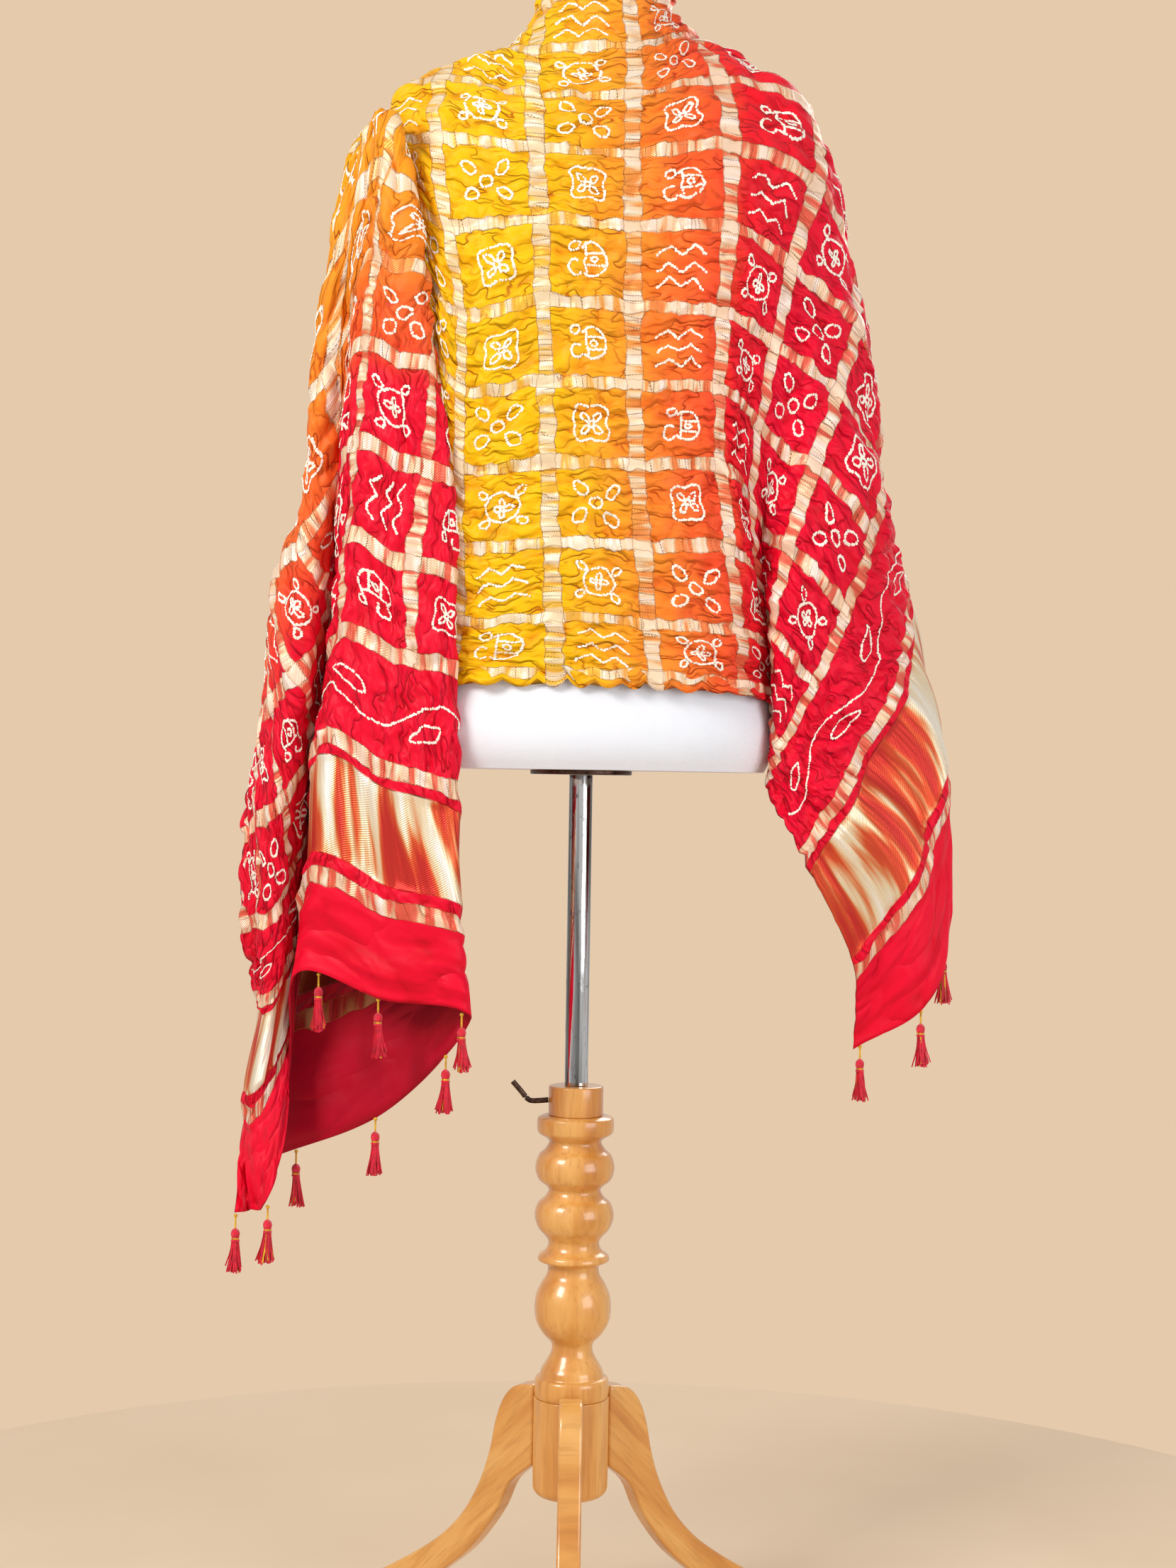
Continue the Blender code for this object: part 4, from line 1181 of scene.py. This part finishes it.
def make_tassel(node, materials, seed):
    """One tassel in full: tie, two twisted yellow yarns, a bound head and a loose skirt of strands."""
    chance = np.random.default_rng(seed)
    low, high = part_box(node)
    red, yellow = 0, 1
    shaped = bmesh.new()
    tie = [(0.1 + TIE_RADIUS * (1 - math.cos(math.pi * k / 8)), 0.15 + TIE_RADIUS * math.sin(math.pi * k / 8))
           for k in range(9)]
    add_turned(shaped, tie, 12, yellow)
    for phase in (0.0, math.pi):
        path = [polar(YARN_REACH, phase + share * 2 * math.pi * YARN_TURNS,
                      -1.5 - share * (THREAD_LENGTH - 1.0)) for share in np.linspace(0, 1, 25)]
        add_tube(shaped, path, YARN_RADIUS, 6, yellow)
    add_turned(shaped, TASSEL_HEAD, 20, red)
    for k in range(4):
        level = -BINDING_TOP - k * BINDING_PITCH
        binding = [polar(BINDING_REACH, 2 * math.pi * n / 24, level - BINDING_PITCH * n / 25)
                   for n in range(25)]
        add_tube(shaped, binding, BINDING_RADIUS, 5, yellow if k in (1, 2) else red)
    lean = Vector((*chance.uniform(-SKIRT_LEAN, SKIRT_LEAN, 2), 0.0))
    for k in range(SKIRT_STRANDS):
        turn = 2 * math.pi * (k + chance.uniform(-0.5, 0.5)) / SKIRT_STRANDS
        inside = math.sqrt(chance.uniform(0.15, 1.0))
        length = chance.uniform(*SKIRT_LENGTH)
        reach = inside * chance.uniform(*SKIRT_REACH)
        sway = chance.uniform(-STRAND_SWAY, STRAND_SWAY, 2)
        path = []
        for step in range(6):
            share = step / 5
            swayed = Vector((sway[0] * math.sin(5 * share), sway[1] * math.sin(4 * share), 0.0))
            strand = polar(3.0 * inside + reach * share ** 1.5, turn, -SKIRT_TOP - share * length)
            path.append(strand + (lean + swayed) * share)
        add_tube(shaped, path, STRAND_RADIUS, 3, yellow if chance.uniform() < YELLOW_SHARE else red)
    place = Vector(((low.x + high.x) / 2, (low.y + high.y) / 2, high.z))
    name = f"fine_{node}"
    return dress(name, finished_mesh(shaped, name, place, materials, 60), (node,))


def make_tassels():
    """All tassels of both ends."""
    materials = (thread_material("crimson_thread", "EC0A34", "CA082C"),
                 thread_material("yellow_thread", "F7C41C", "D89A08"))
    nodes = sorted(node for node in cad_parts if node.startswith("tassel_"))
    return [make_tassel(node, materials, SEED + 40 + k) for k, node in enumerate(nodes)]


# The stand, in millimetres.
POLE_RADIUS = 11.0
COLLAR_FOOT = 497.3
COLLAR_TOP = 525.0
COLLAR_RADIUS = 25.8
HUB_FOOT = 138.0
HUB_TOP = 231.0
HUB_RADIUS = 35.5
HUB_CHAMFER = 10.0
CAP_RADIUS = 46.0
CAP_THICKNESS = 6.0
BASE_RADIUS = 48.0
BASE_THICKNESS = 4.0
SEAT_GAP = 0.3
LEG_THICKNESS = 22.0
LEG_ANGLES = {"leg_front": -90.0, "leg_right": 30.0, "leg_left": 150.0}
LEG_ROUND = 2.5
LEVER_RADIUS = 2.6

# The turned column, from its top ring down to the hub: height and radius of each station.
COLUMN_PROFILE = [
    # height, radius
    (497, 30.0), (495, 35.2), (492, 36.2), (484, 36.2), (480, 34.5), (476, 28.0), (472, 24.7),
    (465, 28.5), (459, 34.5), (447.6, 37.5), (437, 34.5), (431, 27.5), (426.5, 24.5),
    (420, 28.0), (414, 34.5), (402.7, 37.5), (391, 34.0), (383, 27.0), (377, 24.0),
    (370, 26.5), (366, 32.0), (363, 33.7), (360, 33.0), (357, 26.0), (353, 24.0),
    (346, 25.5), (338, 30.5), (327, 35.0), (315, 36.2), (303, 34.5), (292, 28.5), (284, 21.0),
    (279, 19.1), (272, 20.5), (264, 25.0), (257, 29.2), (251, 30.5), (250, 33.5), (246, 35.2),
    (236, 35.2), (HUB_TOP + SEAT_GAP, 34.0),
]

# One sawn leg seen from its side: distance from the hub's axis and height, along the outer edge from
# the hub to the toe and back along the inner edge.
LEG_OUTER = [(HUB_RADIUS + SEAT_GAP, 239), (52, 237), (63, 231), (72, 218), (79, 197), (84, 172),
             (94, 142), (111, 110), (134, 84), (160, 64), (190, 45), (215, 30), (232, 18), (238, 8)]
LEG_FOOT = [(236, 0), (200, 0)]
LEG_INNER = [(184, 9), (160, 27), (134, 47), (108, 69), (88, 93), (73, 116), (60, 143),
             (HUB_RADIUS + SEAT_GAP, 163)]

# The bent clamp rod: distance towards -X from the pole's axis, and height.
LEVER_ROUTE = [(COLLAR_RADIUS + SEAT_GAP, 511), (40, 510), (46, 512), (52, 519), (60, 528)]


def smooth_path(points, steps):
    """A finer run of points along a smooth curve through the given ones."""
    table = np.array(points, float)
    at = np.linspace(0, len(table) - 1, (len(table) - 1) * steps + 1)
    return smooth_between(np.arange(len(table)), table, at)


def make_form():
    """The padded form, the cap on its neck and the plate under it."""
    table = np.array(FORM_SECTIONS, float)
    runs = ((FORM_FOOT, 832, 8), (838, 1400, 90), (1404, 1520, 60), (1525, FORM_TOP, 10))
    heights = np.concatenate([np.linspace(*run) for run in runs])
    fine = smooth_between(table[:, 0], table[:, 1:], heights)
    sections = [(height, *values) for height, values in zip(heights, fine)]
    cover = cover_material()
    loft("padded_torso", sections, 128, ("form_torso",), cover, FORM_SQUARENESS)
    neck_x = FORM_SECTIONS[-1][1]
    cap = []
    cap_foot = FORM_TOP + SEAT_GAP
    for height, radius in rounded_ends(cap_foot, cap_foot + CAP_THICKNESS, CAP_RADIUS, 0.6, 5):
        cap.append((height, neck_x, 0, radius, radius - 2))
    loft("neck_cap", cap, 96, ("form_cap",), cover)
    plate_top = FORM_FOOT - SEAT_GAP
    plate = rounded_ends(plate_top - BASE_THICKNESS, plate_top, BASE_RADIUS, 1.2, 0.6)
    turned("base_plate", plate, "dark_bronze", ("form_base",), bronze_material())


def make_stand():
    """Pole, collar, lever, column, hub and legs."""
    wood = wood_material("honey_turned", sawn=False)
    pole_top = FORM_FOOT - SEAT_GAP - BASE_THICKNESS - SEAT_GAP
    pole = rounded_ends(COLLAR_TOP + SEAT_GAP, pole_top, POLE_RADIUS, 0.5, 0.5)
    turned("steel_pole", pole, "bright_steel", ("pole",), steel_material())
    column = [tuple(station) for station in smooth_path(COLUMN_PROFILE, 5)[::-1]]
    for name, profile, node in (
            ("wooden_collar", rounded_ends(COLLAR_FOOT, COLLAR_TOP, COLLAR_RADIUS, 0.6, 2.0), "pole_collar"),
            ("turned_column", column, "column"),
            ("wooden_hub", rounded_ends(HUB_FOOT, HUB_TOP, HUB_RADIUS, HUB_CHAMFER, 0.8), "hub")):
        turned(name, profile, "honey_wood", (node,), wood)
    make_lever()
    plank = wood_material("honey_sawn", sawn=True)
    for node, heading in LEG_ANGLES.items():
        make_leg(node, heading, plank)


def make_lever():
    """The bent clamp rod, with a smooth bend."""
    shaped = bmesh.new()
    path = [Vector((-reach, 0.0, height)) for reach, height in smooth_path(LEVER_ROUTE, 6)]
    add_tube(shaped, path, LEVER_RADIUS, 16, 0)
    mesh = finished_mesh(shaped, "bent_lever", Vector(AXIS), [bpy.data.materials["dark_bronzed"]], 50)
    return dress("bent_lever", mesh, ("clamp_lever",))


def make_leg(node, heading, surface):
    """One sawn leg with a smooth outline and softly rounded edges."""
    outer = smooth_path(LEG_OUTER, 4)
    inner = smooth_path(LEG_INNER, 4)
    outline = np.vstack([outer, np.array(LEG_FOOT, float), inner])
    count = len(outline)
    half = LEG_THICKNESS / 2
    turn = math.radians(heading)
    points = []
    for side in (-half, half):
        for reach, height in outline:
            points.append((reach * math.cos(turn) - side * math.sin(turn),
                           reach * math.sin(turn) + side * math.cos(turn), height))
    faces = [tuple(range(count)), tuple(range(2 * count - 1, count - 1, -1))]
    for k in range(count):
        following = (k + 1) % count
        faces.append((following, k, count + k, count + following))
    name = f"sawn_{node}"
    mesh = mesh_from(name, points, faces)
    shaped = bmesh.new()
    shaped.from_mesh(mesh)
    bmesh.ops.recalc_face_normals(shaped, faces=shaped.faces)
    shaped.to_mesh(mesh)
    shaped.free()
    mesh.materials.append(surface)
    piece = dress(name, mesh, (node,))
    soft = piece.modifiers.new("rounded edges", "BEVEL")
    soft.width = LEG_ROUND * MM
    soft.segments = 3
    soft.limit_method = "ANGLE"
    soft.angle_limit = math.radians(40)
    mesh.shade_smooth()
    mesh.set_sharp_from_angle(angle=math.radians(35))
    return piece


def make_camera():
    """The photograph's view of the form's back."""
    data = bpy.data.cameras.new("camera")
    data.lens = CAMERA_LENS
    camera = show("camera", data)
    camera.location = (AXIS[0] + CAMERA_SIDE, AXIS[1] - CAMERA_DISTANCE, CAMERA_HEIGHT)
    camera.rotation_euler = (math.radians(90), CAMERA_ROLL, 0.0)
    bpy.context.scene.camera = camera


def add_light(name, place, size, power, colour):
    """A soft rectangular light aimed at the middle of the form."""
    data = bpy.data.lights.new(name, "AREA")
    data.shape = "RECTANGLE"
    data.size = size[0]
    data.size_y = size[1]
    data.energy = power
    data.color = colour
    light = show(name, data)
    light.location = place
    light.rotation_euler = (Vector((0.0, 0.0, 1.0)) - Vector(place)).to_track_quat("-Z", "Y").to_euler()


def make_studio():
    """A plain pale floor, an even pale surround and soft lights."""
    add_light("key", (-2.1, -1.9, 2.5), (1.1, 1.1), 72.0, (1.0, 0.98, 0.95))
    add_light("fill", (2.3, -2.2, 1.2), (1.8, 1.8), 44.0, (0.97, 0.98, 1.0))
    add_light("behind", (0.8, 2.6, 2.4), (1.8, 1.4), 40.0, (1.0, 0.98, 0.95))
    world = bpy.data.worlds.new("pale surround")
    world.use_nodes = True
    tree = world.node_tree
    lighting = tree.nodes["Background"]
    lighting.inputs["Color"].default_value = linear("F4F1EC")
    lighting.inputs["Strength"].default_value = 0.60
    seen = tree.nodes.new("ShaderNodeBackground")
    seen.inputs["Color"].default_value = linear("E5CAAC")
    either = tree.nodes.new("ShaderNodeMixShader")
    rays = tree.nodes.new("ShaderNodeLightPath")
    tree.links.new(rays.outputs["Is Camera Ray"], either.inputs[0])
    tree.links.new(lighting.outputs[0], either.inputs[1])
    tree.links.new(seen.outputs[0], either.inputs[2])
    tree.links.new(either.outputs[0], tree.nodes["World Output"].inputs["Surface"])
    bpy.context.scene.world = world
    bpy.context.scene.view_settings.view_transform = "Standard"
    mesh = bpy.data.meshes.new("studio_floor")
    shaped = bmesh.new()
    bmesh.ops.create_circle(shaped, cap_ends=True, segments=96, radius=1.0)
    shaped.to_mesh(mesh)
    shaped.free()
    graph = Graph("pale_floor")
    colour = graph.ramp(graph.noise(graph.place(), 2.5, 3.0), [(0.3, "D3BB9F"), (0.7, "D9C2A7")])
    mesh.materials.append(graph.finish(colour, 0.85))
    floor = show("studio_floor", mesh)
    floor.location = (AXIS[0], AXIS[1], 0.0)


make_camera()
make_studio()
cloth = make_face()
shawl = make_shawl(cloth)
knots = [make_knots(cloth, False), make_knots(cloth, True)]
tassels = make_tassels()
make_form()
make_stand()
